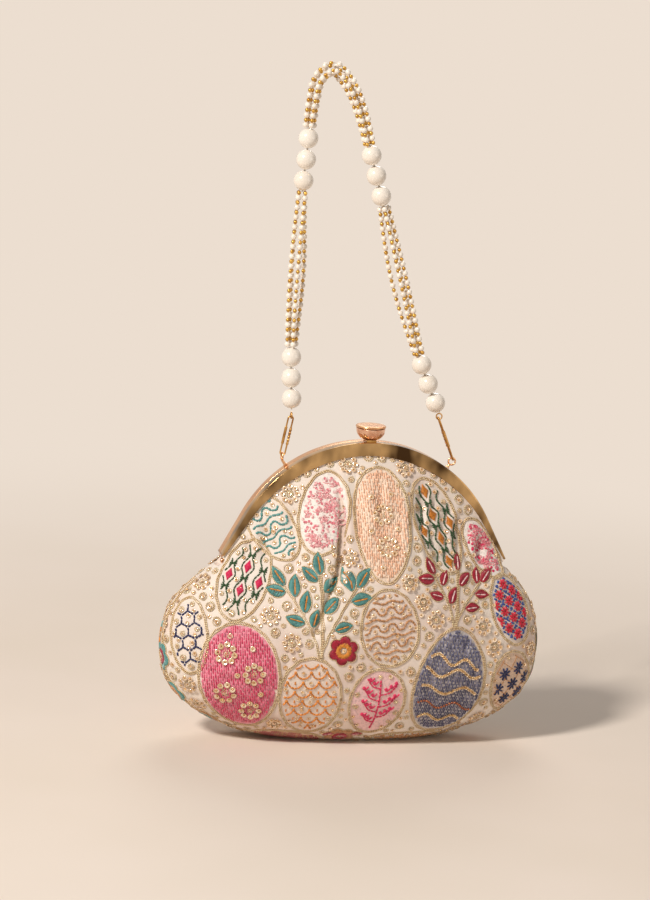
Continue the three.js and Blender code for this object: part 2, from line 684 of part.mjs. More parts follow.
let pearlNumber = 0;
for (let group = 0; group < 4; group++) {
  const groupStart = firstPearl + group * (groupSpan + bundleSpan);
  for (let i = 0; i < 3; i++) {
    pearlNumber += 1;
    const { point, along } = handle.at(groupStart + i * PEARL_PITCH);
    const profile = [];
    const poleAngle = Math.acos(PEARL_BORE / PEARL_RADIUS);
    for (let k = 0; k <= 6; k++) {
      const angle = -poleAngle + (2 * poleAngle * k) / 6;
      profile.push([PEARL_RADIUS * Math.cos(angle), PEARL_RADIUS * Math.sin(angle)]);
    }
    profile.push(profile[0]);
    const pearl = turned(profile, 10);
    pearl.applyQuaternion(new THREE.Quaternion().setFromUnitVectors(new THREE.Vector3(0, 0, 1), along));
    addMesh(`pearl_${String(pearlNumber).padStart(2, '0')}`, pearl.translate(point.x, point.y, point.z), PEARL);
  }
}

// Thread through each group of pearls; the outer ends loop close to the jump rings.
for (let group = 0; group < 4; group++) {
  const groupStart = firstPearl + group * (groupSpan + bundleSpan);
  const from = group === 0 ? 0 : groupStart - PEARL_RADIUS - 0.6;
  const to = group === 3 ? handle.total : groupStart + groupSpan + PEARL_RADIUS + 0.6;
  const points = Array.from({ length: 7 }, (_, i) => handle.at(from + ((to - from) * i) / 6).point);
  const outline = new THREE.Shape(roundSection(THREAD_RADIUS, 6).map(([a, b]) => new THREE.Vector2(a, b)));
  const thread = new THREE.ExtrudeGeometry(outline, {
    steps: 6,
    bevelEnabled: false,
    extrudePath: new THREE.CatmullRomCurve3(points),
  });
  addMesh(`pearl_thread_${group + 1}`, thread, THREAD);
}

// Bead strands: pearl beads and gold seed beads threaded turn about, four strands to a bundle

// How much further each strand stands out halfway along its bundle, as a share of the offset at its ends
const strandSpread = [
  [1.33, 0.22, 0.15, 0.19],
  [0.3, 0.19, 0.3, 0.19],
  [1.11, 0.19, 0.22, 0.15],
];

function strand(bundle, number) {
  const start = firstPearl + groupSpan + bundle * (groupSpan + bundleSpan) + PEARL_RADIUS + 0.1;
  const length = bundleSpan - 2 * PEARL_RADIUS - 0.2;
  const beads = Math.floor(length / BEAD_PITCH);
  const pitch = length / beads;
  const sides = 4;
  const centre = (share) => {
    const { point, along } = handle.at(start + share * length);
    const inPlane = new THREE.Vector3(along.z, 0, -along.x);
    const angle = Math.PI / 4 + (number * 2 * Math.PI) / STRAND_COUNT + 0.5 * (share - 0.5);
    const offset = STRAND_OFFSET * (1 + strandSpread[bundle][number] * Math.sin(Math.PI * share) ** 1.3);
    return point.addScaledVector(inPlane, offset * Math.cos(angle)).add(new THREE.Vector3(0, offset * Math.sin(angle), 0));
  };
  const ringAt = (share, radius) => {
    const middle = centre(share);
    const along = centre(Math.min(share + 0.004, 1)).sub(centre(Math.max(share - 0.004, 0))).normalize();
    const across = new THREE.Vector3(0, 1, 0).cross(along).normalize();
    const other = along.clone().cross(across);
    return roundSection(radius, sides).map(([a, b]) => (
      middle.clone().addScaledVector(across, a).addScaledVector(other, b)
    ));
  };
  const rings = [ringAt(0, NECK_RADIUS)];
  for (let i = 0; i < beads; i++) {
    const base = (i * pitch) / length;
    rings.push(ringAt(base + BEAD_RADIUS / length, BEAD_RADIUS));
    rings.push(ringAt(base + (2 * BEAD_RADIUS) / length, NECK_RADIUS));
    rings.push(ringAt(base + (2 * BEAD_RADIUS + SEED_RADIUS) / length, SEED_RADIUS));
  }
  rings.push(ringAt(1, NECK_RADIUS));
  return loft(rings, false, capOf(roundSection(1, sides)));
}

for (let bundle = 0; bundle < 3; bundle++) {
  for (let number = 0; number < STRAND_COUNT; number++) {
    addMesh(`bead_strand_${bundle + 1}_${number + 1}`, strand(bundle, number), BEADS);
  }
}

export default clutch;
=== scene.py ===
import bpy
import math
import random
import numpy as np
from mathutils import Vector, Matrix, Quaternion
from mathutils.bvhtree import BVHTree
from mathutils.kdtree import KDTree


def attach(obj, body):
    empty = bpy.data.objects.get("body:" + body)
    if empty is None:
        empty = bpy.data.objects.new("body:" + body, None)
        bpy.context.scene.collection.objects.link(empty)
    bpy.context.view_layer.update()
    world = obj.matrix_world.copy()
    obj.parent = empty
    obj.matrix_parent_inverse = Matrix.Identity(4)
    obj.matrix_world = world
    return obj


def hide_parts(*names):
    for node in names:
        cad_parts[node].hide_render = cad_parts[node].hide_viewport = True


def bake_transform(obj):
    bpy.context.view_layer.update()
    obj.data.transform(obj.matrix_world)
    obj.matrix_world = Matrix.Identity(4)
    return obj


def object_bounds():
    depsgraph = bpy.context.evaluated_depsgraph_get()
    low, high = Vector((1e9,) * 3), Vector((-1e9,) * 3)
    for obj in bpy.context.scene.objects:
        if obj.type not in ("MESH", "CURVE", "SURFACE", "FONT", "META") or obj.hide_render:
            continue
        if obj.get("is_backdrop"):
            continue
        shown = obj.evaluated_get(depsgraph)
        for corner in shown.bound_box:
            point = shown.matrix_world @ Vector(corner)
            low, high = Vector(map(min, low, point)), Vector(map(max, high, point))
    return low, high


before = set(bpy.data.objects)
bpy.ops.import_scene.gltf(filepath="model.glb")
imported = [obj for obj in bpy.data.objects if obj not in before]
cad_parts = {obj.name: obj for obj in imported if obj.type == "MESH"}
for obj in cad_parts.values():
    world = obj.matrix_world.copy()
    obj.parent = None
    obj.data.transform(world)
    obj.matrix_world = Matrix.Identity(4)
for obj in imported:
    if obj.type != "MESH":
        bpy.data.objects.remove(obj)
cad_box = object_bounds()
rng = random.Random(7)
noise = np.random.default_rng(11)

# Sizes in millimetres, as in the part's source
RADIUS, TOP, ARCH, LEG = 85.0, 182.0, math.radians(62), 28.0
CENTRE = TOP - RADIUS
HALF_DEPTH, BAND, FLANGE, WALL, JAW_GAP = 7.0, 10.5, 6.0, 0.8, 0.4
HALF = RADIUS * ARCH + LEG
HINGE_Z = 107.58
EYE_X, EYE_Y = 52.9, 3.6
CLIP_TOP_Z, CLIP_BOTTOM_Z = 195.5, 172.0
KNOB_Z, CAP_Z = 183.4, 190.3

# The drawn band: full height near the middle, tapering to the hinges
BAND_FULL_TO, BAND_TRIM, BAND_TAPER = 30.0, 2.6, 6.6

# The soft pouch: its start in the channel, its seam, its fullness and its folds
EDGE, FACE = 1.3, 5.9
SEAM_HALF, WIDEST_Z, SEAM_FALL, SEAM_CURVE = 113.5, 58, 60, 2.4
FULLEST, ROLL_CURVE, FLAT_SHARE = 42, 2.2, 0.62
LEAN, LEAN_FROM_Z, LEAN_HEIGHT = 4.5, 116, 42
PLEATS, PLEAT_HEIGHT = 20, 0.9
GROOVE_AT, GROOVE_WIDTH, GROOVE_DEPTH = 0.385, 0.018, 2.6
FOLD_AT, FOLD_WIDTH, FOLD_DEPTH = 0.388, 0.009, 3.8
COLUMNS, GATHERS, PUCKERS = 200, 44, 90
CLOTH_THICK = 1.1


def frame_point(share, inset):
    """Place and outward direction on the frame, at a share of its length from the left hinge."""
    along = (2 * share - 1) * HALF
    side = -1.0 if along < 0 else 1.0
    angle = min(abs(along) / RADIUS, ARCH)
    down = max(abs(along) - RADIUS * ARCH, 0)
    nx, nz = side * math.sin(angle), math.cos(angle)
    r = RADIUS - inset
    return (r * nx + side * down * math.cos(angle), CENTRE + r * nz - down * math.sin(angle), nx, nz)


def band_at(along):
    """Height of the polished band at a distance along the frame from its middle."""
    t = np.clip((np.abs(along) - BAND_FULL_TO) / (HALF - BAND_FULL_TO), 0, 1)
    return BAND - BAND_TRIM - BAND_TAPER * t ** 1.5


def lean(grid):
    """The soft pouch sits over to its left and is fuller there."""
    x, z = grid[..., 0], grid[..., 2]
    t = np.clip((LEAN_FROM_Z - z) / LEAN_HEIGHT, 0, 1)
    grid[..., 0] = x - (LEAN - 3.2 * x / 113) * t * t * (3 - 2 * t)
    return grid


def bezier(p, steps):
    t = np.linspace(0, 1, steps)[:, None]
    return (1 - t) ** 3 * p[0] + 3 * (1 - t) ** 2 * t * p[1] + 3 * (1 - t) * t * t * p[2] + t ** 3 * p[3]


def lengths_of(points):
    """Distance along a line up to each of its points."""
    return np.concatenate([[0], np.cumsum(np.linalg.norm(np.diff(points, axis=0), axis=1))])


def seam_outline():
    """The line where both panels meet, from the left hinge round the base to the right one."""
    end = frame_point(1, 0)
    x0, z0 = end[0] + 2.3, end[1] - 6.7
    upper = bezier(np.array([[x0, z0], [x0 + 11, z0 - 10], [SEAM_HALF, 82], [SEAM_HALF, WIDEST_Z]]), 60)
    a = np.linspace(0, math.pi / 2, 181)[1:]
    lower = np.stack([SEAM_HALF * np.clip(np.cos(a), 0, 1) ** (2 / SEAM_CURVE),
                      WIDEST_Z - SEAM_FALL * np.sin(a) ** (2 / SEAM_CURVE)], 1)
    right = np.concatenate([upper, lower])
    return np.concatenate([right[:-1] * [-1, 1], right[::-1]])


SEAM = seam_outline()
SEAM_LEN = lengths_of(SEAM)


def column(share):
    """One thread of the cloth, seen from the front: from the channel out to the seam."""
    x, z, nx, nz = frame_point(0.5 + (share - 0.5) * (1 + 1.2 / HALF), EDGE)
    s = share * SEAM_LEN[-1]
    point = np.array([np.interp(s, SEAM_LEN, SEAM[:, 0]), np.interp(s, SEAM_LEN, SEAM[:, 1])])
    i = int(np.clip(np.searchsorted(SEAM_LEN, s), 2, len(SEAM) - 2))
    along = SEAM[i + 1] - SEAM[i - 2]
    along /= np.linalg.norm(along)
    outward = np.array([along[1], -along[0]])
    start, inward = np.array([x, z]), np.array([-nx, -nz])
    channel = 1 + float(band_at((2 * share - 1) * HALF)) - EDGE
    leave = start + inward * channel
    reach = np.linalg.norm(leave - point)
    curve = bezier([leave, leave + inward * (1 + 0.3 * reach), point - outward * 0.3 * reach, point], 61)
    line = np.concatenate([[start], curve])
    return line, lengths_of(line), channel


def cloth_grid(shares, rows, side, wrinkled=True):
    """Cloth points: columns by rows (0-1 in the channel, 1-2 out to the fullest, 2-3 to the seam)."""
    rows = np.asarray(rows, float)
    mid = np.clip(rows - 1, 0, 1)
    ang = np.clip(rows - 2, 0, 1) * (math.pi / 2)
    roll = np.sin(ang) ** (2 / ROLL_CURVE)
    shown = (rows > 1) & (rows < 2)
    out = np.zeros((len(shares), len(rows), 3))
    for i, share in enumerate(shares):
        line, lens, channel = column(share)
        free = lens[-1] - channel
        across = max(math.sin(math.pi * share), 0.0)
        swell = FACE + 0.5 + (FULLEST - FACE - 0.5) * across ** 0.7
        dist = np.where(rows <= 1, channel * rows,
                        np.where(rows <= 2, channel + free * FLAT_SHARE * mid,
                                 channel + free * (FLAT_SHARE + (1 - FLAT_SHARE) * roll)))
        depth = np.where(rows <= 1, FACE,
                         np.where(rows <= 2, FACE + (swell - FACE) * np.sin(math.pi / 2 * mid),
                                  swell * np.clip(np.cos(ang), 0, 1) ** (2 / ROLL_CURVE)))
        if wrinkled:
            fade = np.sin(math.pi * np.minimum(mid * 2.2, 1)) * across ** 0.5
            depth = depth + np.where(shown, PLEAT_HEIGHT * (1 + math.cos(PLEATS * math.pi * share)) * fade, 0)
        if side < 0:
            groove = GROOVE_DEPTH * math.exp(-((share - GROOVE_AT) / GROOVE_WIDTH) ** 2)
            depth = depth - np.where(shown, groove * np.sin(math.pi * np.minimum(mid * 1.3, 1)), 0)
        out[i, :, 0] = np.interp(dist, lens, line[:, 0])
        out[i, :, 1] = side * depth
        out[i, :, 2] = np.maximum(np.interp(dist, lens, line[:, 1]), 0)
    return lean(out)


def grid_normals(grid, side):
    """Outward normals at the points of a cloth grid."""
    n = np.cross(np.gradient(grid, axis=0), np.gradient(grid, axis=1))
    n /= np.linalg.norm(n, axis=2, keepdims=True) + 1e-9
    return n * np.sign(np.median(n[:, : n.shape[1] // 2, 1]) * side)


# Mesh helpers

class Heap:
    """Vertices, faces and a pair of surface coordinates gathered for one piece."""

    def __init__(self):
        self.verts, self.faces, self.uvs, self.count = [], [], [], 0

    def add(self, verts, faces, uv=None):
        verts = np.asarray(verts, float)
        self.verts.append(verts)
        self.uvs.append(np.zeros((len(verts), 2)) if uv is None else np.asarray(uv, float))
        for block in faces if isinstance(faces, list) else [faces]:
            self.faces.append(np.asarray(block, int) + self.count)
        self.count += len(verts)

    def build(self, name, material, body, slot=None):
        verts = np.concatenate(self.verts)
        uv = np.concatenate(self.uvs)
        mesh = bpy.data.meshes.new(name)
        flat = np.concatenate([b.ravel() for b in self.faces])
        sizes = np.concatenate([np.full(len(b), b.shape[1]) for b in self.faces])
        starts = np.concatenate([[0], np.cumsum(sizes)[:-1]])
        mesh.vertices.add(len(verts))
        mesh.vertices.foreach_set("co", (verts * 0.001).astype(np.float32).ravel())
        mesh.loops.add(len(flat))
        mesh.loops.foreach_set("vertex_index", flat.astype(np.int32))
        mesh.polygons.add(len(sizes))
        mesh.polygons.foreach_set("loop_start", starts.astype(np.int32))
        mesh.polygons.foreach_set("use_smooth", np.full(len(sizes), True))
        layer = mesh.uv_layers.new(name="Length")
        mesh.update(calc_edges=True)
        layer.data.foreach_set("uv", uv[flat].astype(np.float32).ravel())
        mesh.validate()
        obj = bpy.data.objects.new(name, mesh)
        bpy.context.scene.collection.objects.link(obj)
        mesh.materials.append(material)
        if body:
            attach(obj, body)
        return obj


def made_of(meshes, name, material, body, slot, node=None):
    """One piece from (vertices, faces, uv) meshes; node is the solid that it replaces."""
    heap = Heap()
    for mesh in meshes:
        heap.add(*mesh)
    obj = heap.build(name, material, body, slot=slot)
    if node:
        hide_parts(node)
    return obj


def ring_faces(rings, sides, closed=False):
    """Quads between rings of points."""
    i, j = np.meshgrid(np.arange(rings if closed else rings - 1), np.arange(sides), indexing="ij")
    i, j = i.ravel(), j.ravel()
    k = (j + 1) % sides
    n = (i + 1) % rings
    return np.stack([i * sides + j, i * sides + k, n * sides + k, n * sides + j], 1)


def grid_faces(nu, nv, turned=False):
    """Quads between the points of a grid."""
    i, j = np.meshgrid(np.arange(nu - 1), np.arange(nv - 1), indexing="ij")
    i, j = i.ravel(), j.ravel()
    quads = np.stack([i * nv + j, (i + 1) * nv + j, (i + 1) * nv + j + 1, i * nv + j + 1], 1)
    return quads[:, ::-1] if turned else quads


def cap_faces(rings, sides):
    """Flat ends of a tube."""
    last = (rings - 1) * sides
    return np.array([list(range(sides - 1, -1, -1)), [last + k for k in range(sides)]])


def lathe(profile, sides, origin=(0, 0, 0), axis=(0, 0, 1), displace=None):
    """A turned body from radius and height pairs; the ends close on the axis where the radius is 0."""
    profile = np.asarray(profile, float)
    m = np.array(Vector((0, 0, 1)).rotation_difference(Vector(axis)).to_matrix())
    a = np.linspace(0, 2 * math.pi, sides, endpoint=False)
    r, h = profile[:, 0][:, None], profile[:, 1][:, None]
    r = np.broadcast_to(r, (len(profile), sides)).copy()
    if displace is not None:
        r = r + displace(a[None, :], h)
    verts = np.stack([r * np.cos(a), r * np.sin(a), np.broadcast_to(h, r.shape)], 2).reshape(-1, 3)
    uv = np.stack([np.broadcast_to(a / (2 * math.pi), r.shape).ravel(), np.broadcast_to(h, r.shape).ravel()], 1)
    return verts @ m.T + np.array(origin), ring_faces(len(profile), sides), uv


def tube(points, radius, sides=8, normals=None, closed=False, flat=1.0):
    """A tube along points. normals keep its flat side against a surface."""
    p = np.asarray(points, float)
    n = len(p)
    t = np.roll(p, -1, 0) - np.roll(p, 1, 0) if closed else np.gradient(p, axis=0)
    t /= np.linalg.norm(t, axis=1, keepdims=True) + 1e-9
    if normals is None:
        s = np.cross(t, np.array([0.0, 1.0, 0.0]))
        bad = np.linalg.norm(s, axis=1) < 0.05
        s[bad] = np.cross(t[bad], [1.0, 0, 0])
    else:
        s = np.cross(t, normals)
    s /= np.linalg.norm(s, axis=1, keepdims=True) + 1e-9
    u = np.cross(s, t)
    a = np.linspace(0, 2 * math.pi, sides, endpoint=False) + math.pi / sides
    round_ = np.cos(a)[None, :, None] * s[:, None, :] + flat * np.sin(a)[None, :, None] * u[:, None, :]
    verts = p[:, None, :] + radius * round_
    uv = np.stack([np.broadcast_to(lengths_of(p)[:, None], (n, sides)).ravel(),
                   np.broadcast_to(a[None, :] / (2 * math.pi), (n, sides)).ravel()], 1)
    faces = [ring_faces(n, sides, closed)]
    if not closed:
        faces.append(cap_faces(n, sides))
    return verts.reshape(-1, 3), faces, uv


def instances(template, faces, uv, places, axes):
    """Copies of a template at places; axes are (n, 3, 3) with the columns as local x, y, z."""
    k = len(template)
    verts = np.einsum("nij,kj->nki", axes, template) + places[:, None, :]
    shifts = (np.arange(len(places)) * k)[:, None, None]
    out = [(block[None] + shifts).reshape(-1, block.shape[1])
           for block in (faces if isinstance(faces, list) else [faces])]
    return verts.reshape(-1, 3), out, np.tile(uv, (len(places), 1))


# Materials

def srgb(r, g, b):
    f = lambda c: (c / 255 / 12.92) if c / 255 <= 0.04045 else ((c / 255 + 0.055) / 1.055) ** 2.4
    return (f(r), f(g), f(b), 1.0)


def scaled(colour, by):
    return tuple(min(c * by, 1) for c in colour[:3]) + (1,)


def new_node(nt, kind, **inputs):
    """A shader node with constants on its own inputs."""
    node = nt.nodes.new("ShaderNode" + kind)
    for key, value in inputs.items():
        node.inputs[key.replace("_", " ")].default_value = value
    return node


def math_node(nt, operation, a, b):
    node = new_node(nt, "Math")
    node.operation = operation
    nt.links.new(a, node.inputs[0])
    nt.links.new(b, node.inputs[1])
    return node.outputs[0]


def multiply(nt, a, b, factor):
    """Colour a darkened by colour b."""
    mix = new_node(nt, "Mix")
    mix.data_type = "RGBA"
    mix.blend_type = "MULTIPLY"
    mix.inputs["Factor"].default_value = factor
    nt.links.new(a, mix.inputs["A"])
    nt.links.new(b, mix.inputs["B"])
    return mix.outputs["Result"]


def new_material(name, base, rough=0.5, metal=0.0, **sockets):
    mat = bpy.data.materials.new(name)
    mat.use_nodes = True
    nt = mat.node_tree
    bsdf = nt.nodes["Principled BSDF"]
    bsdf.inputs["Base Color"].default_value = base
    bsdf.inputs["Roughness"].default_value = rough
    bsdf.inputs["Metallic"].default_value = metal
    for key, value in sockets.items():
        bsdf.inputs[key.replace("_", " ")].default_value = value
    return mat, nt, bsdf


def ramp(nt, stops, source):
    """Colours by value."""
    r = nt.nodes.new("ShaderNodeValToRGB")
    el = r.color_ramp.elements
    while len(el) < len(stops):
        el.new(0.5)
    for e, (pos, col) in zip(el, stops):
        e.position = pos
        e.color = col
    nt.links.new(source, r.inputs["Fac"])
    return r.outputs["Color"]


def tex_noise(nt, scale, detail=3, rough=0.5, stretch=None):
    """Noise in the object's own space."""
    n = new_node(nt, "TexNoise", Scale=scale, Detail=detail, Roughness=rough)
    out = nt.nodes.new("ShaderNodeTexCoord").outputs["Object"]
    if stretch:
        m = new_node(nt, "Mapping", Scale=stretch)
        nt.links.new(out, m.inputs["Vector"])
        out = m.outputs["Vector"]
    nt.links.new(out, n.inputs["Vector"])
    return n.outputs["Fac"]


def bump(nt, bsdf, height, strength, distance):
    """Fine relief, laid over any relief that is there already."""
    b = new_node(nt, "Bump", Strength=strength, Distance=distance)
    nt.links.new(height, b.inputs["Height"])
    old = bsdf.inputs["Normal"].links
    if old:
        nt.links.new(old[0].from_socket, b.inputs["Normal"])
    nt.links.new(b.outputs["Normal"], bsdf.inputs["Normal"])


def wave_uv(nt, scale, direction="X", distortion=0.0, slant=None):
    """Bands across the piece's own surface coordinates; slant stretches them and turns them by 45 degrees."""
    src = nt.nodes.new("ShaderNodeUVMap")
    src.uv_map = "Length"
    w = new_node(nt, "TexWave", Scale=scale, Distortion=distortion)
    w.bands_direction = direction
    out = src.outputs["UV"]
    if slant is not None:
        m = new_node(nt, "Mapping", Scale=slant, Rotation=(0, 0, math.radians(45)))
        nt.links.new(out, m.inputs["Vector"])
        out = m.outputs["Vector"]
    nt.links.new(out, w.inputs["Vector"])
    return w.outputs["Fac"]


def ground_material():
    """Warm white woven silk with a faint blush and slubs, and painted shade in the grooves of its weave."""
    mat, nt, b = new_material("ground_cloth", srgb(240, 226, 214), 0.62, Sheen_Weight=0.25, Sheen_Roughness=0.4)
    b.inputs["Sheen Tint"].default_value = srgb(255, 244, 236)
    tone = ramp(nt, [(0.35, srgb(236, 217, 206)), (0.55, srgb(243, 231, 219)), (0.75, srgb(247, 238, 229))],
                tex_noise(nt, 22, 3))
    weave = math_node(nt, "MAXIMUM", wave_uv(nt, 0.55, "X", 1.2), wave_uv(nt, 0.55, "Y", 1.2))
    # painted shade: the colour darkens where the weave is low, in the grooves between its ribs
    shade = ramp(nt, [(0.2, srgb(226, 208, 194)), (0.8, srgb(255, 255, 255))], weave)
    nt.links.new(multiply(nt, tone, shade, 0.45), b.inputs["Base Color"])
    bump(nt, b, weave, 0.35, 0.00012)
    bump(nt, b, tex_noise(nt, 350, 4, 0.6), 0.25, 0.0002)
    return mat


def silk(name, rgb, dark=0.72, light=1.12, rough=0.42, sheen=0.35):
    """Stranded silk: the tone shifts from stitch to stitch."""
    base = srgb(*rgb)
    mat, nt, b = new_material(name, base, rough, Sheen_Weight=sheen, Sheen_Roughness=0.35)
    stops = [(0.3, scaled(base, dark * 0.8)), (0.5, base), (0.72, scaled(base, light))]
    nt.links.new(ramp(nt, stops, tex_noise(nt, 900, 2, 0.5)), b.inputs["Base Color"])
    bump(nt, b, tex_noise(nt, 4200, 2, 0.6), 0.3, 0.00008)
    return mat


def cord_material(name, rgb, dark):
    """Twisted metallic thread: slanting plies and a soft glint; dark is the painted shade in the grooves
    between the plies, and their crests carry a painted highlight.
    """
    base, low = srgb(*rgb), srgb(*dark)
    mat, nt, b = new_material(name, base, 0.36, 0.35)
    plies = wave_uv(nt, 0.42, "X", 0.0, (1, 1.1, 1))
    # painted shade in the grooves between the plies, and a painted highlight a quarter brighter on their crests
    tone = ramp(nt, [(0.1, low), (0.55, base), (0.95, scaled(base, 1.25))], plies)
    shift = ramp(nt, [(0.3, srgb(232, 208, 180)), (0.7, srgb(255, 255, 255))], tex_noise(nt, 260, 2))
    nt.links.new(multiply(nt, tone, shift, 0.6), b.inputs["Base Color"])
    bump(nt, b, plies, 0.8, 0.00025)
    return mat


def metal_material(name, rgb, rough, dark, blotch=0.2, scale=30, stretch=None, waves=0.0, metal=1.0):
    """Metal with darker blotches, an uneven polish and, where asked, slow waves; on the mirror band the
    blotches are painted reflections, and on the other metals they are an uneven worn tone.
    """
    base = srgb(*rgb)
    mat, nt, b = new_material(name, base, rough, metal)
    tone = ramp(nt, [(0.5 - blotch, srgb(*dark)), (0.5 + blotch, base)], tex_noise(nt, scale, 3, 0.5, stretch))
    nt.links.new(tone, b.inputs["Base Color"])
    polish = new_node(nt, "MapRange", To_Min=max(rough - 0.05, 0.02), To_Max=rough + 0.08)
    nt.links.new(tex_noise(nt, 700, 3, 0.6), polish.inputs["Value"])
    nt.links.new(polish.outputs["Result"], b.inputs["Roughness"])
    if waves:
        bump(nt, b, tex_noise(nt, 45, 1, 0.4), waves, 0.002)
    return mat


def pearl_material(name, rgb, rough):
    """Cream nacre: a soft body under a clear skin."""
    base = srgb(*rgb)
    mat, nt, b = new_material(name, base, rough, Coat_Weight=1.0, Coat_Roughness=0.05, Specular_IOR_Level=0.6)
    tone = ramp(nt, [(0.3, srgb(240, 228, 213)), (0.6, base)], tex_noise(nt, 60, 2, 0.5))
    nt.links.new(tone, b.inputs["Base Color"])
    bump(nt, b, tex_noise(nt, 500, 2, 0.5), 0.04, 0.00005)
    return mat


GROUND = ground_material()
LINING = silk("lining_cloth", (226, 206, 182), 0.9, 1.05, 0.45, 0.4)
# on the mirror band the dark and light streaks in its colour are painted reflections
BAND_METAL = metal_material("band_mirror", (206, 168, 116), 0.1, (70, 50, 30), 0.1, 26, (1.5, 1, 1), waves=0.5)
ROSE = metal_material("rose_gold", (232, 188, 146), 0.22, (198, 144, 102), 0.22, 40)
CLIP = metal_material("clip_gold", (226, 182, 112), 0.24, (164, 114, 58), 0.2, 120)
KNOB_METAL = metal_material("knob_metal", (248, 208, 180), 0.26, (214, 158, 126), 0.14, 420)
PEARL = pearl_material("large_pearl", (247, 239, 228), 0.2)
PEARL_SMALL = pearl_material("small_pearl", (250, 241, 228), 0.22)
SEED = metal_material("gold_seed", (226, 184, 96), 0.24, (178, 128, 50), 0.2, 300, metal=0.8)
THREAD = silk("bead_thread", (226, 212, 188), 0.85, 1.05)

# Camera, light and floor

scene = bpy.context.scene
scene.view_settings.view_transform = "Standard"
FLOOR_RGB = srgb(236, 222, 208)
FADE_FROM, FADE_TO = 0.22, 0.95


def aim_camera():
    az, el, dist, roll = math.radians(-14), math.radians(10.15), 2.31, math.radians(3.6)
    target = Vector((-0.0275, 0, 0.176))
    back = Vector((math.sin(az) * math.cos(el), -math.cos(az) * math.cos(el), math.sin(el)))
    cam = bpy.data.cameras.new("camera")
    cam.sensor_width = 36
    cam.lens = 154
    cam.clip_end = 50
    obj = bpy.data.objects.new("camera", cam)
    scene.collection.objects.link(obj)
    obj.location = target + back * dist
    obj.rotation_mode = "QUATERNION"
    obj.rotation_quaternion = back.to_track_quat("Z", "Y") @ Quaternion((0, 0, 1), roll)
    scene.camera = obj


def area_light(name, place, size, power, colour):
    """A round lamp aimed at the middle of the bag."""
    lamp = bpy.data.lights.new(name, "AREA")
    lamp.shape = "DISK"
    lamp.size = size
    lamp.energy = power
    lamp.color = colour
    obj = bpy.data.objects.new(name, lamp)
    scene.collection.objects.link(obj)
    obj.location = place
    obj.rotation_mode = "QUATERNION"
    obj.rotation_quaternion = (Vector(place) - Vector((0, 0, 0.15))).to_track_quat("Z", "Y")


def blend_shaders(nt, share, a, b, output):
    mix = nt.nodes.new("ShaderNodeMixShader")
    for source, socket in zip((share, a, b), mix.inputs):
        nt.links.new(source, socket)
    nt.links.new(mix.outputs[0], nt.nodes[output].inputs["Surface"])


def backdrop():
    """Soft warm light from all round; the camera and mirrors see the backdrop colour."""
    world = bpy.data.worlds.new("studio")
    scene.world = world
    world.use_nodes = True
    nt = world.node_tree
    light = nt.nodes["Background"]
    light.inputs["Color"].default_value = (1.0, 0.97, 0.94, 1)
    light.inputs["Strength"].default_value = 0.17
    seen = new_node(nt, "Background", Color=FLOOR_RGB, Strength=1.0)
    ray = nt.nodes.new("ShaderNodeLightPath").outputs
    direct = math_node(nt, "MAXIMUM", ray["Is Camera Ray"], ray["Is Glossy Ray"])
    direct = math_node(nt, "MAXIMUM", direct, ray["Is Transmission Ray"])
    blend_shaders(nt, direct, light.outputs[0], seen.outputs[0], "World Output")


def lay_floor():
    """A pale floor; far from the object it runs into the backdrop without an edge."""
    mat, nt, b = new_material("floor", FLOOR_RGB, 0.9)
    tone = ramp(nt, [(0.3, srgb(234, 220, 205)), (0.7, srgb(238, 224, 211))], tex_noise(nt, 6, 2))
    nt.links.new(tone, b.inputs["Base Color"])
    far = new_node(nt, "VectorMath")
    far.operation = "LENGTH"
    nt.links.new(nt.nodes.new("ShaderNodeTexCoord").outputs["Object"], far.inputs[0])
    fade = new_node(nt, "MapRange", From_Min=FADE_FROM, From_Max=FADE_TO)
    fade.interpolation_type = "SMOOTHSTEP"
    nt.links.new(far.outputs["Value"], fade.inputs["Value"])
    glow = new_node(nt, "Emission", Color=FLOOR_RGB)
    ray = nt.nodes.new("ShaderNodeLightPath").outputs
    direct = math_node(nt, "MAXIMUM", ray["Is Camera Ray"], ray["Is Glossy Ray"])
    share = math_node(nt, "MULTIPLY", fade.outputs["Result"], direct)
    blend_shaders(nt, share, b.outputs[0], glow.outputs[0], "Material Output")
    a = np.linspace(0, 2 * math.pi, 64, endpoint=False)
    radii = [0, 400, 900, 2000, 5000, 12000]
    verts = np.concatenate([np.stack([r * np.cos(a), r * np.sin(a), np.full(64, -0.05)], 1) for r in radii])
    made_of([(verts, ring_faces(len(radii), 64))], "floor", mat, None, None)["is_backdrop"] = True


aim_camera()
backdrop()
area_light("key", (-1.7, -1.2, 1.9), 0.45, 64, (1.0, 0.955, 0.905))
area_light("fill", (1.8, -1.6, 0.7), 1.4, 5, (1.0, 0.95, 0.9))
area_light("back", (0.5, 1.8, 1.6), 1.2, 15, (1.0, 0.97, 0.94))
lay_floor()

# Panels, side pieces and lining

PANELS, SMOOTH = {}, {}
JAW_START, JAW_END = (0, 0, 0.062), (0, 0.01745, 0.1119)
ROWS = np.concatenate([np.linspace(0, 1, 7)[:-1], np.linspace(1, 2, 80)[:-1], np.linspace(2, 3, 71)])


def crease_noise(x, z, seed):
    """Smooth wandering ridges for soft gathers, about a millimetre high."""
    g = np.random.default_rng(seed)
    total = np.zeros_like(x)
    for _ in range(10):
        a = g.uniform(-1.2, 1.2)
        k = g.uniform(0.05, 0.16)
        ph = g.uniform(0, 6.28)
        warp = 3.0 * np.sin(0.03 * z * g.uniform(0.6, 1.6) + ph * 2)
        total += np.sin(k * (x * math.cos(a) + z * math.sin(a)) + warp + ph) * g.uniform(0.3, 1)
    return total / 4.0


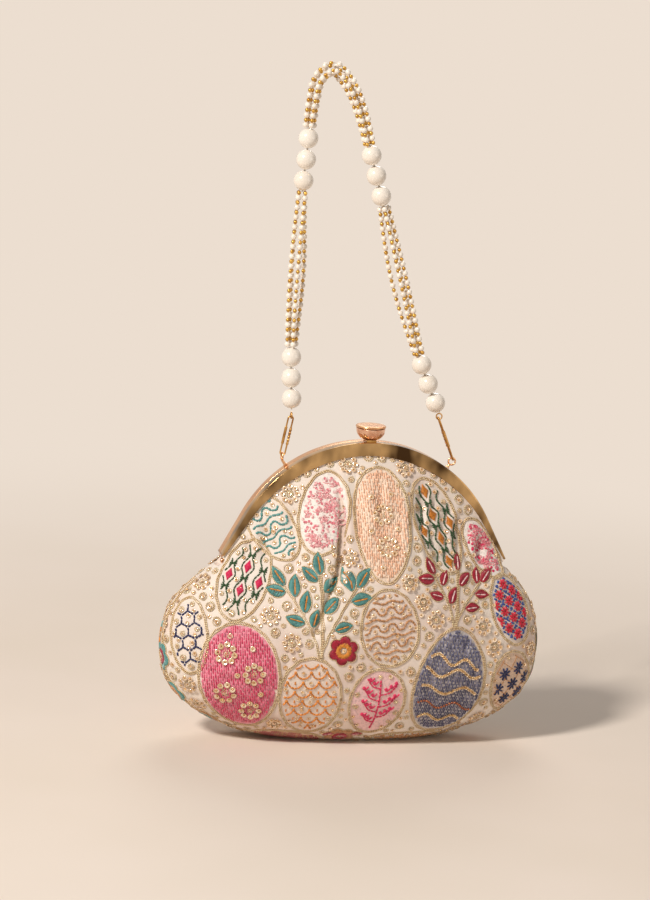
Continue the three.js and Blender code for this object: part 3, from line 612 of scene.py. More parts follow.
def gather_depths(side, g, u, r):
    """Height of the gathers, the deep fold and the puckers at each place of a panel."""
    depth = np.zeros_like(g[..., 0])
    gen = np.random.default_rng(5 if side < 0 else 6)
    # gathers run down from the frame and fade out
    for _ in range(GATHERS):
        c = gen.uniform(0.04, 0.96)
        w = gen.uniform(0.006, 0.014)
        reach = gen.uniform(0.25, 0.85)
        tilt = gen.uniform(-0.06, 0.06)
        amp = gen.uniform(-1.9, 1.1)
        along = np.clip((r - 1) / reach, 0, 1)
        ridge = np.exp(-((u - c - tilt * (r - 1)) / (w * (1 + 1.5 * along))) ** 2)
        depth += amp * ridge * np.sin(math.pi * along) ** 0.8 * (r > 1)
    # one deep fold on the front, pulled in from the frame
    if side < 0:
        ridge = np.exp(-((u - FOLD_AT + 0.012 * (r - 1)) / FOLD_WIDTH) ** 2)
        depth -= FOLD_DEPTH * ridge * np.sin(math.pi * np.clip((r - 1) / 0.95, 0, 1)) ** 0.7 * (r > 1)
    # short puckers where the cords pull at the cloth
    for _ in range(PUCKERS):
        px, pz = gen.uniform(-108, 104), gen.uniform(8, 150)
        turn = gen.uniform(0, math.pi)
        dx, dz = g[..., 0] - px, g[..., 2] - pz
        along = dx * math.cos(turn) + dz * math.sin(turn)
        across = dz * math.cos(turn) - dx * math.sin(turn)
        amp, length, width = gen.uniform(-0.9, 0.5), gen.uniform(6, 13), gen.uniform(1.3, 2.4)
        depth += amp * np.exp(-(along / length) ** 2 - (across / width) ** 2)
    return depth


def panel_surface(side):
    """Points and normals of a gathered panel; the plain one is kept for placing threads."""
    shares = np.linspace(0, 1, COLUMNS + 1)
    SMOOTH[side] = cloth_grid(shares, ROWS, side, wrinkled=False)
    g = cloth_grid(shares, ROWS, side)
    n = grid_normals(g, side)
    r, u = ROWS[None, :], shares[:, None]
    free = np.clip((r - 1.03) * 8, 0, 1) * np.clip((2.97 - r) * 12, 0, 1)
    free = free * np.clip(u * 14, 0, 1) * np.clip((1 - u) * 14, 0, 1)
    soft = crease_noise(g[..., 0], g[..., 2], 3 if side < 0 else 9)
    low = np.clip((g[..., 2] - 1.0) / 10, 0, 1)
    g = g + n * (0.8 * soft * free * low + 1.15 * gather_depths(side, g, u, r) * free)[..., None]
    g[..., 2] = np.maximum(g[..., 2], 0.0)
    return g, grid_normals(g, side)


def ride_panel(obj, side):
    if side < 0:
        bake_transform(obj)
        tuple(JAW_START)
        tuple(JAW_END)
    else:
        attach(obj, "bag")


def build_panel(side, name, node):
    """One panel: the outer face and a coarser inner one."""
    g, n = PANELS[side] = panel_surface(side)
    nu, nv = g.shape[:2]
    across, down = lengths_of(g[:, nv // 2]), lengths_of(g[nu // 2])
    uv = np.stack(np.meshgrid(across, down, indexing="ij"), 2).reshape(-1, 2)
    inner = (g - n * CLOTH_THICK)[::4, ::3]
    inner[..., 2] = np.maximum(inner[..., 2], 0.9)
    # the inner quads face in and start from another corner
    hidden = np.roll(grid_faces(*inner.shape[:2], side < 0), 1, axis=1)
    meshes = [(g.reshape(-1, 3), grid_faces(nu, nv, side > 0), uv), (inner.reshape(-1, 3), hidden)]
    obj = made_of(meshes, name, GROUND, None, "embroidered_cloth", node)
    ride_panel(obj, side)


def declare_cloth(grid):
    """Areas of the two halves of each quad of a sewn piece, worked out and then not used."""
    a, b, c, d = grid[:-1, :-1], grid[1:, :-1], grid[:-1, 1:], grid[1:, 1:]
    halves = [np.linalg.norm(np.cross(p, q), axis=2) for p, q in ((b - a, c - a), (b - d, c - d))]


def sewn(grid, turned, name, material, body, slot, thickness, uv=None):
    """A thin cloth from a grid of points."""
    obj = made_of([(grid.reshape(-1, 3), grid_faces(*grid.shape[:2], turned), uv)], name, material, body, slot)
    declare_cloth(grid)
    obj.modifiers.new("thickness", "SOLIDIFY").thickness = thickness
    return obj


def build_gusset(end, name):
    """The folded cloth that closes each side between the hinge and the start of the seam."""
    col = 0 if end < 0 else -1
    f, b = PANELS[-1][0][col][::3], PANELS[1][0][col][::3]
    t = np.linspace(0, 1, 13)
    grid = f[:, None] * (1 - t)[None, :, None] + b[:, None] * t[None, :, None]
    width = np.abs(f[:, 1] - b[:, 1])[:, None]
    tuck = np.sin(math.pi * t)[None, :] * width * 0.34 + 0.5 * np.sin(3 * math.pi * t)[None, :] * (width > 3)
    grid[..., 0] -= end * tuck * 0.75
    grid[..., 2] -= tuck * 0.4
    uv = np.stack([grid[..., 1].ravel(), grid[..., 2].ravel()], 1)
    obj = sewn(grid, end < 0, name, GROUND, None, "embroidered_cloth", 0.0006, uv)
    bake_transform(obj)


def build_flap(end, name):
    """Cloth sewn into the seam behind the front, which shows at the side when the bag is open."""
    g, n = PANELS[-1]
    cols = np.where((g[:, -1, 2] > 46) & (np.sign(g[:, -1, 0] + 3) == end))[0]
    grid = g[cols][:, -34:] - n[cols][:, -34:] * 1.5
    grid[..., 1] = np.minimum(grid[..., 1], -0.3)
    uv = np.stack([grid[..., 2].ravel(), grid[..., 1].ravel()], 1)
    sewn(grid, False, name, GROUND, "bag", "embroidered_cloth", 0.0003, uv)


def build_lining(side, name):
    """A plain loose lining inside each panel."""
    shares = np.linspace(0.03, 0.97, 60)
    rows = np.concatenate([np.linspace(0, 1, 4)[:-1], np.linspace(1, 2, 24)[:-1], np.linspace(2, 2.99, 20)])
    g = cloth_grid(shares, rows, side, wrinkled=False)
    ripple = np.sin(shares * 90)[:, None] * np.clip(rows - 1, 0, 1)[None, :] * 0.25
    loose = (4.8 if side < 0 else 3.6) * np.sin(math.pi * np.clip((rows - 1) / 2, 0, 1)) ** 0.7
    ends = np.clip(np.minimum(shares, 1 - shares) * 12, 0, 1)[:, None]
    inwards = CLOTH_THICK + np.where(rows <= 1, 0.6, 1.2)[None, :] + ripple + loose[None, :] * ends
    grid = g - grid_normals(g, side) * inwards[..., None]
    grid[..., 2] = np.maximum(grid[..., 2], 2.2)
    grid[..., 1] = side * np.maximum(side * grid[..., 1], 0.6)
    obj = sewn(grid, side > 0, name, LINING, None, "lining_cloth", 0.0004)
    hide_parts("lining")
    ride_panel(obj, side)


build_panel(-1, "front_cloth", "front_panel")
build_panel(1, "back_cloth", "back_panel")
for end, word in ((-1, "left"), (1, "right")):
    build_gusset(end, "side_fold_" + word)
for end, word in ((-1, "left"), (1, "right")):
    build_flap(end, "side_gusset_" + word)
build_lining(-1, "lining_front")
build_lining(1, "lining_back")

# Frame

EAR_RADIUS, EAR_HOLE, EAR_SIDES = 2.2, 1.1, 40
EAR_INNER = {-1: 84.6, 1: 85.7}
EAR_THICK, EAR_NECK_TOP = 0.8, 112.6
LOWER_FACE = 7


def frame_path(steps=150):
    """Places along the frame, close together on the arch."""
    leg = LEG / (2 * HALF)
    shares = np.concatenate([np.linspace(0, leg, 12)[:-1], np.linspace(leg, 1 - leg, steps),
                             np.linspace(1 - leg, 1, 12)[1:]])
    return [frame_point(s, 0) for s in shares]


def sweep(section, path):
    """A section carried along the frame; its lower face points follow the drawn height of the band."""
    verts, uv = [], []
    length = 0.0
    last = path[0]
    for x, z, nx, nz in path:
        length += math.hypot(x - last[0], z - last[1])
        last = (x, z)
        out = section[:, 0]
        out = np.where(out < -LOWER_FACE, out + BAND - float(band_at(length - HALF)), out)
        verts.append(np.stack([x + out * nx, section[:, 1], z + out * nz], 1))
        uv.append(np.stack([np.full(len(section), length), np.arange(len(section))], 1))
    faces = [ring_faces(len(path), len(section)), cap_faces(len(path), len(section))]
    return np.concatenate(verts), faces, np.concatenate(uv)


def rounded(points, radius, steps=4):
    """Corners of a closed outline turned into small arcs."""
    pts = [np.array(p, float) for p in points]
    out = []
    for i, p in enumerate(pts):
        a, b = pts[i - 1], pts[(i + 1) % len(pts)]
        da, db = a - p, b - p
        la, lb = np.linalg.norm(da), np.linalg.norm(db)
        r = radius[i] if hasattr(radius, "__len__") else radius
        r = min(r, la * 0.45, lb * 0.45)
        pa, pb = p + da / la * r, p + db / lb * r
        for k in range(steps + 1):
            t = k / steps
            out.append((1 - t) ** 2 * pa + 2 * (1 - t) * t * p + t * t * pb)
    return np.array(out)


def ear(side, end):
    """A hinge ear: a disc round the rivet and a neck up into the channel."""
    x0 = end * EAR_INNER[side]
    x1 = end * (EAR_INNER[side] + EAR_THICK)
    a = np.linspace(0, 2 * math.pi, EAR_SIDES, endpoint=False)
    circle = np.stack([np.cos(a), np.sin(a)], 1)
    rings = []
    for x, radius in ((x0, EAR_HOLE), (x0, EAR_RADIUS), (x1, EAR_RADIUS), (x1, EAR_HOLE)):
        ring = circle * radius + [0, HINGE_Z]
        rings.append(np.stack([np.full(EAR_SIDES, x), ring[:, 0], ring[:, 1]], 1))
    near, far = 0.2, HALF_DEPTH - WALL - 1.6
    top = EAR_NECK_TOP + (0.9 if side < 0 else 0.0)
    foot = ((side * near, HINGE_Z - 0.4), (side * far, HINGE_Z + 0.6), (side * far, top), (side * near, top))
    box = np.array([(x, y, z) for x in (x0, x1) for y, z in foot])
    sides = np.array([[0, 1, 2, 3], [4, 7, 6, 5], [0, 4, 5, 1], [1, 5, 6, 2], [2, 6, 7, 3], [3, 7, 4, 0]])
    return [(np.concatenate(rings), ring_faces(4, EAR_SIDES, closed=True)), (box, sides)]


def jaw_piece(side, name, node, material, body, slot):
    """A folded channel with a wide face, and an ear at each end."""
    near = JAW_GAP / 2
    section = rounded(
        [(0, near), (0, HALF_DEPTH - 0.5), (-0.5, HALF_DEPTH), (-BAND, HALF_DEPTH), (-BAND, HALF_DEPTH - WALL),
         (-WALL, HALF_DEPTH - WALL), (-WALL, near + WALL), (-FLANGE, near + WALL), (-FLANGE, near)],
        [0.25, 0.5, 0.5, 0.3, 0.3, 0.3, 0.3, 0.2, 0.2])
    section[:, 1] *= side
    made_of([sweep(section, frame_path())] + ear(side, -1) + ear(side, 1), name, material, body, slot, node)


jaw_piece(-1, "front_frame", "front_jaw", BAND_METAL, "opening_jaw", "mirror_brass")
jaw_piece(1, "back_frame", "back_jaw", ROSE, "bag", "rose_gold")
rivet = rounded([(0.001, 83.4), (1.6, 83.4), (1.6, 84.3), (0.8, 84.3), (0.8, 86.8), (1.6, 86.8), (1.12, 87.7),
                 (0.001, 87.7)], 0.25, 3)
for end, word in ((-1, "left"), (1, "right")):
    made_of([lathe(rivet, 32, (0, 0, HINGE_Z), (end, 0, 0))], "rivet_" + word, ROSE, "bag", "rose_gold",
            "hinge_rivet_" + word)

# Catch knob


def emboss(a, h):
    """Raised leafy scallops round the bowl of the knob."""
    t = np.clip((h - 1.2) / 4.6, 0, 1)
    env = np.sin(math.pi * t)
    return env * (0.22 * np.abs(np.sin(6 * a + 2.2 * t)) + 0.12 * np.cos(18 * a + 9 * t) * np.sin(9 * t))


cup = np.array([(0.001, 0), (4.95, 0), (5.6, 0.35), (5.95, 0.6), (6.6, 1.05), (7.2, 1.9), (7.9, 3.0),
                (8.3, 4.0), (8.5, 4.8), (8.75, 6.0), (8.8, 6.6), (0.001, 6.6)])
cup_len = lengths_of(cup)
fine = np.linspace(0, cup_len[-1], 90)
cup = np.stack([np.interp(fine, cup_len, cup[:, 0]), np.interp(fine, cup_len, cup[:, 1])], 1)
cap = rounded([(0.001, 0), (8.7, 0), (9.2, 0.4), (9.2, 1.1), (8.6, 1.6), (0.001, 1.6)], 0.35, 4)
stem = [(0.001, 178.3), (1.15, 178.3), (1.2, 178.4), (1.2, 179.0), (1.1, 179.1), (0.8, 179.1), (0.8, 183.1),
        (0.001, 183.1)]
made_of([lathe(cup, 96, (0, 0, KNOB_Z), displace=emboss)], "knob_cup", KNOB_METAL, "clasp", "rose_gold",
        "clasp_knob_cup")
made_of([lathe(cap, 72, (0, 0, CAP_Z))], "knob_cap", ROSE, "clasp", "rose_gold", "clasp_knob_cap")
made_of([lathe(stem, 32, (0, 2.5, 0))], "knob_stem", CLIP, "clasp", "clip_gold", "clasp_stem")
tongue = bpy.data.objects["catch_tongue"]
tongue.data.materials.clear()
tongue.data.materials.append(CLIP)

# Eyelets, clips and rings

HOOK_RADIUS, GATE_HALF, GATE_RIBS = 1.5, 5.3, 5
HOOK_GAP = (0.7 - GATE_HALF, 3.7 - GATE_HALF)


def loop_points(half, radius, steps):
    """A long link: two half turns, each half away from the middle."""
    pts = []
    for i in range(2 * steps):
        a = math.pi * (i + 0.5) / steps
        end = half if math.sin(a) >= 0 else -half
        pts.append((radius * math.cos(a), 0, end + radius * math.sin(a)))
    return np.array(pts)


def ring_at(place, radius, wire, across):
    """A wire ring; across turns it by a quarter turn about the upright."""
    pts = loop_points(0, radius, 20)
    if across:
        c, s = math.cos(math.pi / 2), math.sin(math.pi / 2)
        pts = pts @ np.array([[c, s, 0], [-s, c, 0], [0, 0, 1]])
    pts = pts + place
    up = np.cross(np.roll(pts, -1, 0) - np.roll(pts, 1, 0), pts - pts.mean(0))
    return tube(pts, wire, 14, normals=up / np.linalg.norm(up, axis=1, keepdims=True), closed=True)


def eyelet(end, word):
    """A small ring on a post that stands on the back rim."""
    centre = np.array([end * EYE_X, EYE_Y, 171.2 if end < 0 else 169.85])
    arch = np.array([0, EYE_Y, CENTRE])
    down = np.array([0, 0, 1.0]) if end < 0 else (centre - arch) / np.linalg.norm(centre - arch)
    head = centre - down * 2.15 - arch
    tall = np.linalg.norm(head)
    prof = rounded([(0.001, RADIUS + 0.3), (1.45, RADIUS + 0.3), (1.45, RADIUS + 0.8), (0.85, RADIUS + 1.2),
                    (0.8, tall - 0.2), (0.001, tall)], 0.2, 3)
    v, f, uv = lathe(prof, 32, arch, head / tall)
    v[:, 1] = EYE_Y + np.clip(v[:, 1] - EYE_Y, -0.9, 0.9)
    made_of([ring_at(centre, 2.15, 0.55, end < 0), (v, f, uv)], "eyelet_ring_" + word, ROSE, "bag", "rose_gold",
            "eyelet_" + word)


def upright(x, low, high, steps):
    return np.stack([np.full(steps, x), np.zeros(steps), np.linspace(low, high, steps)], 1)


def hook_end(middle, start):
    """Half a turn of the hook's wire."""
    turn = np.linspace(start, start + math.pi, 26)[1:-1]
    return np.array([(HOOK_RADIUS * math.cos(a), 0, middle + HOOK_RADIUS * math.sin(a)) for a in turn])


def clip(end, word, top_x, turned):
    """A long wire link with a smooth sleeve, a gap and a ribbed gate over it, and its jump ring."""
    bottom = np.array([end * EYE_X, EYE_Y, CLIP_BOTTOM_Z])
    top = np.array([top_x, EYE_Y, CLIP_TOP_Z])
    half = np.linalg.norm(top - bottom) / 2 - (0 if turned else HOOK_RADIUS)
    ang = math.atan2(top[0] - bottom[0], top[2] - bottom[2])
    turns = Matrix.Rotation(ang, 4, "Y") @ Matrix.Rotation(math.pi / 2 if turned else 0, 4, "Z")
    m = np.array(Matrix.Translation(Vector((bottom + top) / 2)) @ turns)

    def put(mesh):
        return mesh[0] @ m[:3, :3].T + m[:3, 3], mesh[1], mesh[2]

    wire = np.concatenate([upright(HOOK_RADIUS, HOOK_GAP[1], half, 14), hook_end(half, 0),
                           upright(-HOOK_RADIUS, half, -half, 20), hook_end(-half, math.pi),
                           upright(HOOK_RADIUS, -half, HOOK_GAP[0], 14)])
    sleeve = rounded([(0.45, -GATE_HALF), (0.85, -GATE_HALF), (0.85, GATE_HALF), (0.45, GATE_HALF)], 0.15, 3)
    sleeve = lathe(np.concatenate([sleeve, sleeve[:1]]), 28, (-HOOK_RADIUS, 0, 0))
    made_of([put(tube(wire, 0.5, 14)), put(sleeve)], "clip_wire_" + word, CLIP, "clip_" + word, "clip_gold",
            "hook_" + word)
    p = 2 * GATE_HALF / (2 * GATE_RIBS)
    prof = [(0.62, -GATE_HALF)]
    for k in range(GATE_RIBS):
        b = -GATE_HALF + 2 * k * p
        prof += [(0.8, b), (0.85, b + 0.12), (0.85, b + p - 0.1), (0.8, b + p), (0.7, b + 1.15 * p),
                 (0.68, b + 1.5 * p), (0.7, b + 1.85 * p)]
    prof += [(0.66, GATE_HALF), (0.62, GATE_HALF), (0.62, -GATE_HALF)]
    made_of([put(lathe(prof, 28, (HOOK_RADIUS, 0, 0)))], "clip_gate_ribs_" + word, CLIP, "clip_gate_" + word,
            "clip_gold", "gate_" + word)
    rise = 0.6 if end < 0 else 1.8
    made_of([ring_at([top_x, EYE_Y, CLIP_TOP_Z + rise], 1.8, 0.4, end < 0)], "ring_" + word, CLIP, "handle",
            "clip_gold", "jump_ring_" + word)


for end, word in ((-1, "left"), (1, "right")):
    eyelet(end, word)
clip(-1, "left", -48.7, False)
clip(1, "right", 43.0, True)

# Handle


def centripetal(points, per=30):
    """A smooth line through points, without loops where they are uneven."""
    p = [np.array(q, float) for q in points]
    p = [2 * p[0] - p[1]] + p + [2 * p[-1] - p[-2]]
    out = []
    for i in range(1, len(p) - 2):
        p0, p1, p2, p3 = p[i - 1: i + 3]
        t0 = 0.0
        t1 = t0 + max(np.linalg.norm(p1 - p0), 1e-6) ** 0.5
        t2 = t1 + max(np.linalg.norm(p2 - p1), 1e-6) ** 0.5
        t3 = t2 + max(np.linalg.norm(p3 - p2), 1e-6) ** 0.5
        for t in np.linspace(t1, t2, per, endpoint=False):
            a1 = (t1 - t) / (t1 - t0) * p0 + (t - t0) / (t1 - t0) * p1
            a2 = (t2 - t) / (t2 - t1) * p1 + (t - t1) / (t2 - t1) * p2
            a3 = (t3 - t) / (t3 - t2) * p2 + (t - t2) / (t3 - t2) * p3
            b1 = (t2 - t) / (t2 - t0) * a1 + (t - t0) / (t2 - t0) * a2
            b2 = (t3 - t) / (t3 - t1) * a2 + (t - t1) / (t3 - t1) * a3
            out.append((t2 - t) / (t2 - t1) * b1 + (t - t1) / (t2 - t1) * b2)
    out.append(p[-2])
    return np.array(out)


ROUTE = centripetal([(x, EYE_Y, z) for x, z in (
    (-48.7, 199.8), (-50.4, 222), (-51.9, 262), (-51.4, 310), (-49.1, 352), (-47.2, 384), (-44.4, 398),
    (-36, 404.5), (-27.4, 397.5), (-19.5, 384), (-5.5, 341), (13.5, 280), (29, 231), (37.5, 211), (43, 199.8))])
ROUTE_LEN = lengths_of(ROUTE)
TOTAL = ROUTE_LEN[-1]
FIRST, PITCH, PEARL_RADIUS, PEARL_HOLE = 6.5, 12.6, 6.0, 0.9
GROUP = 2 * PITCH
BUNDLE = (TOTAL - 2 * FIRST - 4 * GROUP) / 3
STRAND_START = 6.1
STRAND = BUNDLE - 2 * STRAND_START
THREAD_RADIUS = 0.28
BEAD_PITCH, STRAND_RADIUS = 5.6, 2.7
# how far each strand of a bundle swells out at its middle, as a share of the strand radius
SPREAD = [[1.33, .22, .15, .19], [.3, .19, .3, .19], [1.11, .19, .22, .15]]


def on_route(d):
    """Place and direction on the handle's line at a distance from its left end."""
    at = lambda s: np.array([np.interp(s, ROUTE_LEN, ROUTE[:, k]) for k in range(3)])
    d = min(max(d, 0), TOTAL)
    t = at(min(d + 0.8, TOTAL)) - at(max(d - 0.8, 0))
    return at(d), t / np.linalg.norm(t)


def sphere(radius, rows, hole=0.25):
    """Profile of a drilled bead."""
    pole = math.acos(hole / radius)
    angs = np.linspace(-pole, pole, rows)
    return np.stack([radius * np.cos(angs), radius * np.sin(angs)], 1)


def pearl_group(group):
    """Three large pearls and the twisted thread through them."""
    start = FIRST + group * (GROUP + BUNDLE)
    prof = sphere(PEARL_RADIUS, 30, PEARL_HOLE)
    prof = np.concatenate([prof, [(0.75, 5.8), (0.75, -5.8)], prof[:1]])
    for i in range(3):
        number = 3 * group + i + 1
        place, along = on_route(start + i * PITCH)
        made_of([lathe(prof, 32, place, along)], "large_pearl_%02d" % number, PEARL, "handle", "pearl",
                "pearl_%02d" % number)
    a = 0.0 if group == 0 else start - 6.6
    b = TOTAL if group == 3 else start + GROUP + 6.6
    pts = np.array([on_route(d)[0] for d in np.linspace(a, b, 60)])
    twist = np.linspace(0, (b - a) / 2.2 * 2 * math.pi, 60)
    plies = []
    for k in range(3):
        ph = 2 * math.pi * k / 3
        off = np.stack([np.cos(twist + ph) * 0.22, np.sin(twist + ph) * 0.22, np.zeros(60)], 1)
        plies.append(tube(pts + off, THREAD_RADIUS, 6))
    made_of(plies, "pearl_cord_%d" % (group + 1), THREAD, "handle", "thread", "pearl_thread_%d" % (group + 1))


def strand_centre(bundle, num, share):
    start = FIRST + GROUP + bundle * (GROUP + BUNDLE) + STRAND_START
    p, along = on_route(start + share * STRAND)
    in_plane = np.array([along[2], 0, -along[0]])
    ang = math.pi / 4 - 0.4 + num * math.pi / 2 + 0.5 * (share - 0.5)
    off = STRAND_RADIUS * (1 + SPREAD[bundle][num] * max(math.sin(math.pi * share), 0) ** 1.3)
    return p + in_plane * off * math.cos(ang) + np.array([0, off * math.sin(ang), 0])


def bead_strand(bundle, num):
    """Small pearls with gold seed beads between them, threaded."""
    centre = lambda share: strand_centre(bundle, num, min(max(share, 0), 1))
    pearls, seeds = [], []
    beads = int(STRAND // BEAD_PITCH)
    for k in range(beads):
        for at, r, made, sides, rows in ((1.75, 1.75, pearls, 14, 8), (4.62, 1.28, seeds, 9, 6)):
            share = (k * (STRAND / beads) + at) / STRAND
            d = centre(share + 0.01) - centre(share - 0.01)
            size = r * (1 + noise.uniform(-0.05, 0.03))
            made.append(lathe(sphere(size, rows), sides, centre(share), d / np.linalg.norm(d)))
    tag = "_%d_%d" % (bundle + 1, num + 1)
    made_of(pearls, "strand_pearls" + tag, PEARL_SMALL, "handle", "beads", "bead_strand" + tag)
    made_of(seeds, "strand_seeds" + tag, SEED, "handle", "beads")
    line = np.array([centre(s) for s in np.linspace(0, 1, 80)])
    made_of([tube(line, THREAD_RADIUS, 6)], "strand_thread" + tag, THREAD, "handle", "thread")


for group in range(4):
    pearl_group(group)
for bundle in range(3):
    for num in range(4):
        bead_strand(bundle, num)


# Embroidery: threads laid on the panels

UNDER_BAND, SEAM_CLEAR, GROUND_CLEAR = 0.15, 1.1, 0.7
STITCH_DIP, STITCH_END = 0.12, 0.45
# how far the flat directions of a spot fall away: a sphere of half this radius
FALL = 130


def tree_of(points):
    """A search tree over points."""
    tree = KDTree(len(points))
    for k, q in enumerate(points.tolist()):
        tree.insert(q, k)
    tree.balance()
    return tree


class Cloth:
    """A finished panel that threads are laid on."""

    def __init__(self, side):
        self.side = side
        self.word = "front" if side < 0 else "back"
        g, n = PANELS[side]
        quads = grid_faces(*g.shape[:2])
        mid = quads[len(quads) // 2]
        p = SMOOTH[side].reshape(-1, 3)
        turn = np.cross(p[mid[1]] - p[mid[0]], p[mid[3]] - p[mid[0]])
        self.quads = quads
        self.plain, self.final, self.out = p, g.reshape(-1, 3), n.reshape(-1, 3)
        self.tree = BVHTree.FromPolygons(p.tolist(), (quads if turn[1] * side > 0 else quads[:, ::-1]).tolist())
        self.heaps = {}

    def heap(self, key):
        return self.heaps.setdefault(key, Heap())

    def survey(self):
        """Note what is laid so far, so that later threads keep clear of it."""
        laid = np.concatenate([v for heap in self.heaps.values() for v in heap.verts])[::4]
        self.taken = tree_of(laid)

    def room(self, points):
        """Distance from each point to the nearest thread in the last survey."""
        return np.array([self.taken.find(q)[2] for q in points.tolist()])

    def nearest(self, points):
        """Places on the plain cloth, carried over to the gathered one by their quad."""
        pos = np.empty((len(points), 3))
        index = np.empty(len(points), int)
        find = self.tree.find_nearest
        for k, q in enumerate(points.tolist()):
            co, _, i, _ = find(q)
            pos[k] = co
            index[k] = i
        a, b, c, d = self.quads[index].T
        pa = self.plain[a]
        e1, e2 = self.plain[b] - pa, self.plain[d] - pa
        w = pos - pa
        g11, g12, g22 = np.sum(e1 * e1, 1), np.sum(e1 * e2, 1), np.sum(e2 * e2, 1)
        w1, w2 = np.sum(w * e1, 1), np.sum(w * e2, 1)
        det = g11 * g22 - g12 * g12 + 1e-12
        u = np.clip((w1 * g22 - w2 * g12) / det, 0, 1)[:, None]
        v = np.clip((w2 * g11 - w1 * g12) / det, 0, 1)[:, None]
        weigh = lambda m: (m[a] * (1 - u) * (1 - v) + m[b] * u * (1 - v) + m[c] * u * v
                           + m[d] * (1 - u) * v)
        nor = weigh(self.out)
        return weigh(self.final), nor / (np.linalg.norm(nor, axis=1, keepdims=True) + 1e-9)

    def hit(self, x, z):
        """Place and normal straight behind a point of the front view."""
        co, no, _, _ = self.tree.ray_cast(Vector((x, self.side * 200, z)), Vector((0, -self.side, 0)))
        if co is None:
            co, no, _, _ = self.tree.find_nearest(Vector((x, self.side * 12, z)))
        return np.array(co), np.array(no)

    def free(self, p):
        """True where the cloth isn't under the band, at the seam or on the ground."""
        x, z = np.abs(p[:, 0]), p[:, 2] - CENTRE
        angle = np.arctan2(x, z)
        leg = angle > ARCH
        inset = np.where(leg, RADIUS - (x * math.sin(ARCH) + z * math.cos(ARCH)), RADIUS - np.hypot(x, z))
        past = x * math.cos(ARCH) - z * math.sin(ARCH)
        along = np.where(leg, RADIUS * ARCH + past, RADIUS * angle)
        under = (inset < band_at(along) + UNDER_BAND) & (~leg | (past < LEG + 0.6))
        return ~under & (np.abs(p[:, 1]) > SEAM_CLEAR) & (p[:, 2] > GROUND_CLEAR)


class Spot:
    """A place on the cloth with flat directions of its own: p to the right, q up."""

    def __init__(self, cloth, x, z, rot=0.0, rx=10.0, rz=10.0, egg=0.0):
        self.cloth, self.rx, self.rz, self.egg = cloth, rx, rz, egg
        self.c, self.n = cloth.hit(x, z)
        self.turn(np.array([-cloth.side, 0.0, 0.0]), rot)

    def turn(self, ref, rot):
        t = ref - self.n * (ref @ self.n)
        t /= np.linalg.norm(t)
        b = np.cross(self.n, t)
        r = math.radians(rot)
        self.t = t * math.cos(r) + b * math.sin(r)
        self.b = -t * math.sin(r) + b * math.cos(r)

    @classmethod
    def at(cls, cloth, place, rot):
        """A spot at a point of the surface itself."""
        spot = cls(cloth, 0, 60)
        co, no, _, _ = cloth.tree.find_nearest(Vector(place.tolist()))
        spot.c, spot.n = np.array(co), np.array(no)
        spot.turn(np.array([-cloth.side, 0.0, 0.0] if abs(spot.n[0]) < 0.9 else [0.0, 0.0, 1.0]), rot)
        return spot

    def lay(self, pq):
        """Places and normals on the cloth; the flat directions bend away with it."""
        pq = np.asarray(pq, float).reshape(-1, 2)
        drop = np.sum(pq ** 2, 1) / FALL
        return self.cloth.nearest(self.c + pq[:, :1] * self.t + pq[:, 1:] * self.b - self.n * drop[:, None])

    def width(self, q):
        """Half the width of the egg at a height."""
        q = np.asarray(q, float)
        return self.rx * np.sqrt(np.clip(1 - (q / self.rz) ** 2, 0, 1)) * (1 - self.egg * q / self.rz)

    def inside(self, pq, margin):
        """True for places within the egg by a margin."""
        pq = np.asarray(pq, float).reshape(-1, 2)
        k = 1 - margin / min(self.rx, self.rz)
        return np.abs(pq[:, 0]) < self.width(pq[:, 1] / k) * k

    def outline(self, steps, grow):
        a = np.linspace(0, 2 * math.pi, steps, endpoint=False)
        q = (self.rz + grow) * np.sin(a)
        p = (self.rx + grow) * np.cos(a) * (1 - self.egg * np.sin(a))
        return np.stack([p, q], 1)


def ring_points(at, r, a):
    """Points at angles a and distances r from a place."""
    return np.stack([at[0] + r * np.cos(a), at[1] + r * np.sin(a)], 1)


def runs_of(keep, order):
    """Unbroken runs of the kept places, taken in order."""
    runs, run = [], []
    for k in order:
        if keep[k]:
            run.append(k)
        elif run:
            runs.append(run)
            run = []
    return runs + [run] if run else runs


def resample(path, step, closed=False):
    """Points at even steps along a path."""
    path = np.asarray(path, float)
    if closed:
        path = np.concatenate([path, path[:1]])
    lens = lengths_of(path)
    n = max(int(round(lens[-1] / step)), 2)
    d = np.linspace(0, lens[-1], n + 1)
    out = np.stack([np.interp(d, lens, path[:, k]) for k in range(path.shape[1])], 1)
    return out[:-1] if closed else out


def offset_path(path, by, closed=False):
    """A line beside a path."""
    t = np.roll(path, -1, 0) - np.roll(path, 1, 0) if closed else np.gradient(path, axis=0)
    t /= np.linalg.norm(t, axis=1, keepdims=True) + 1e-9
    return path + by * np.stack([-t[:, 1], t[:, 0]], 1)


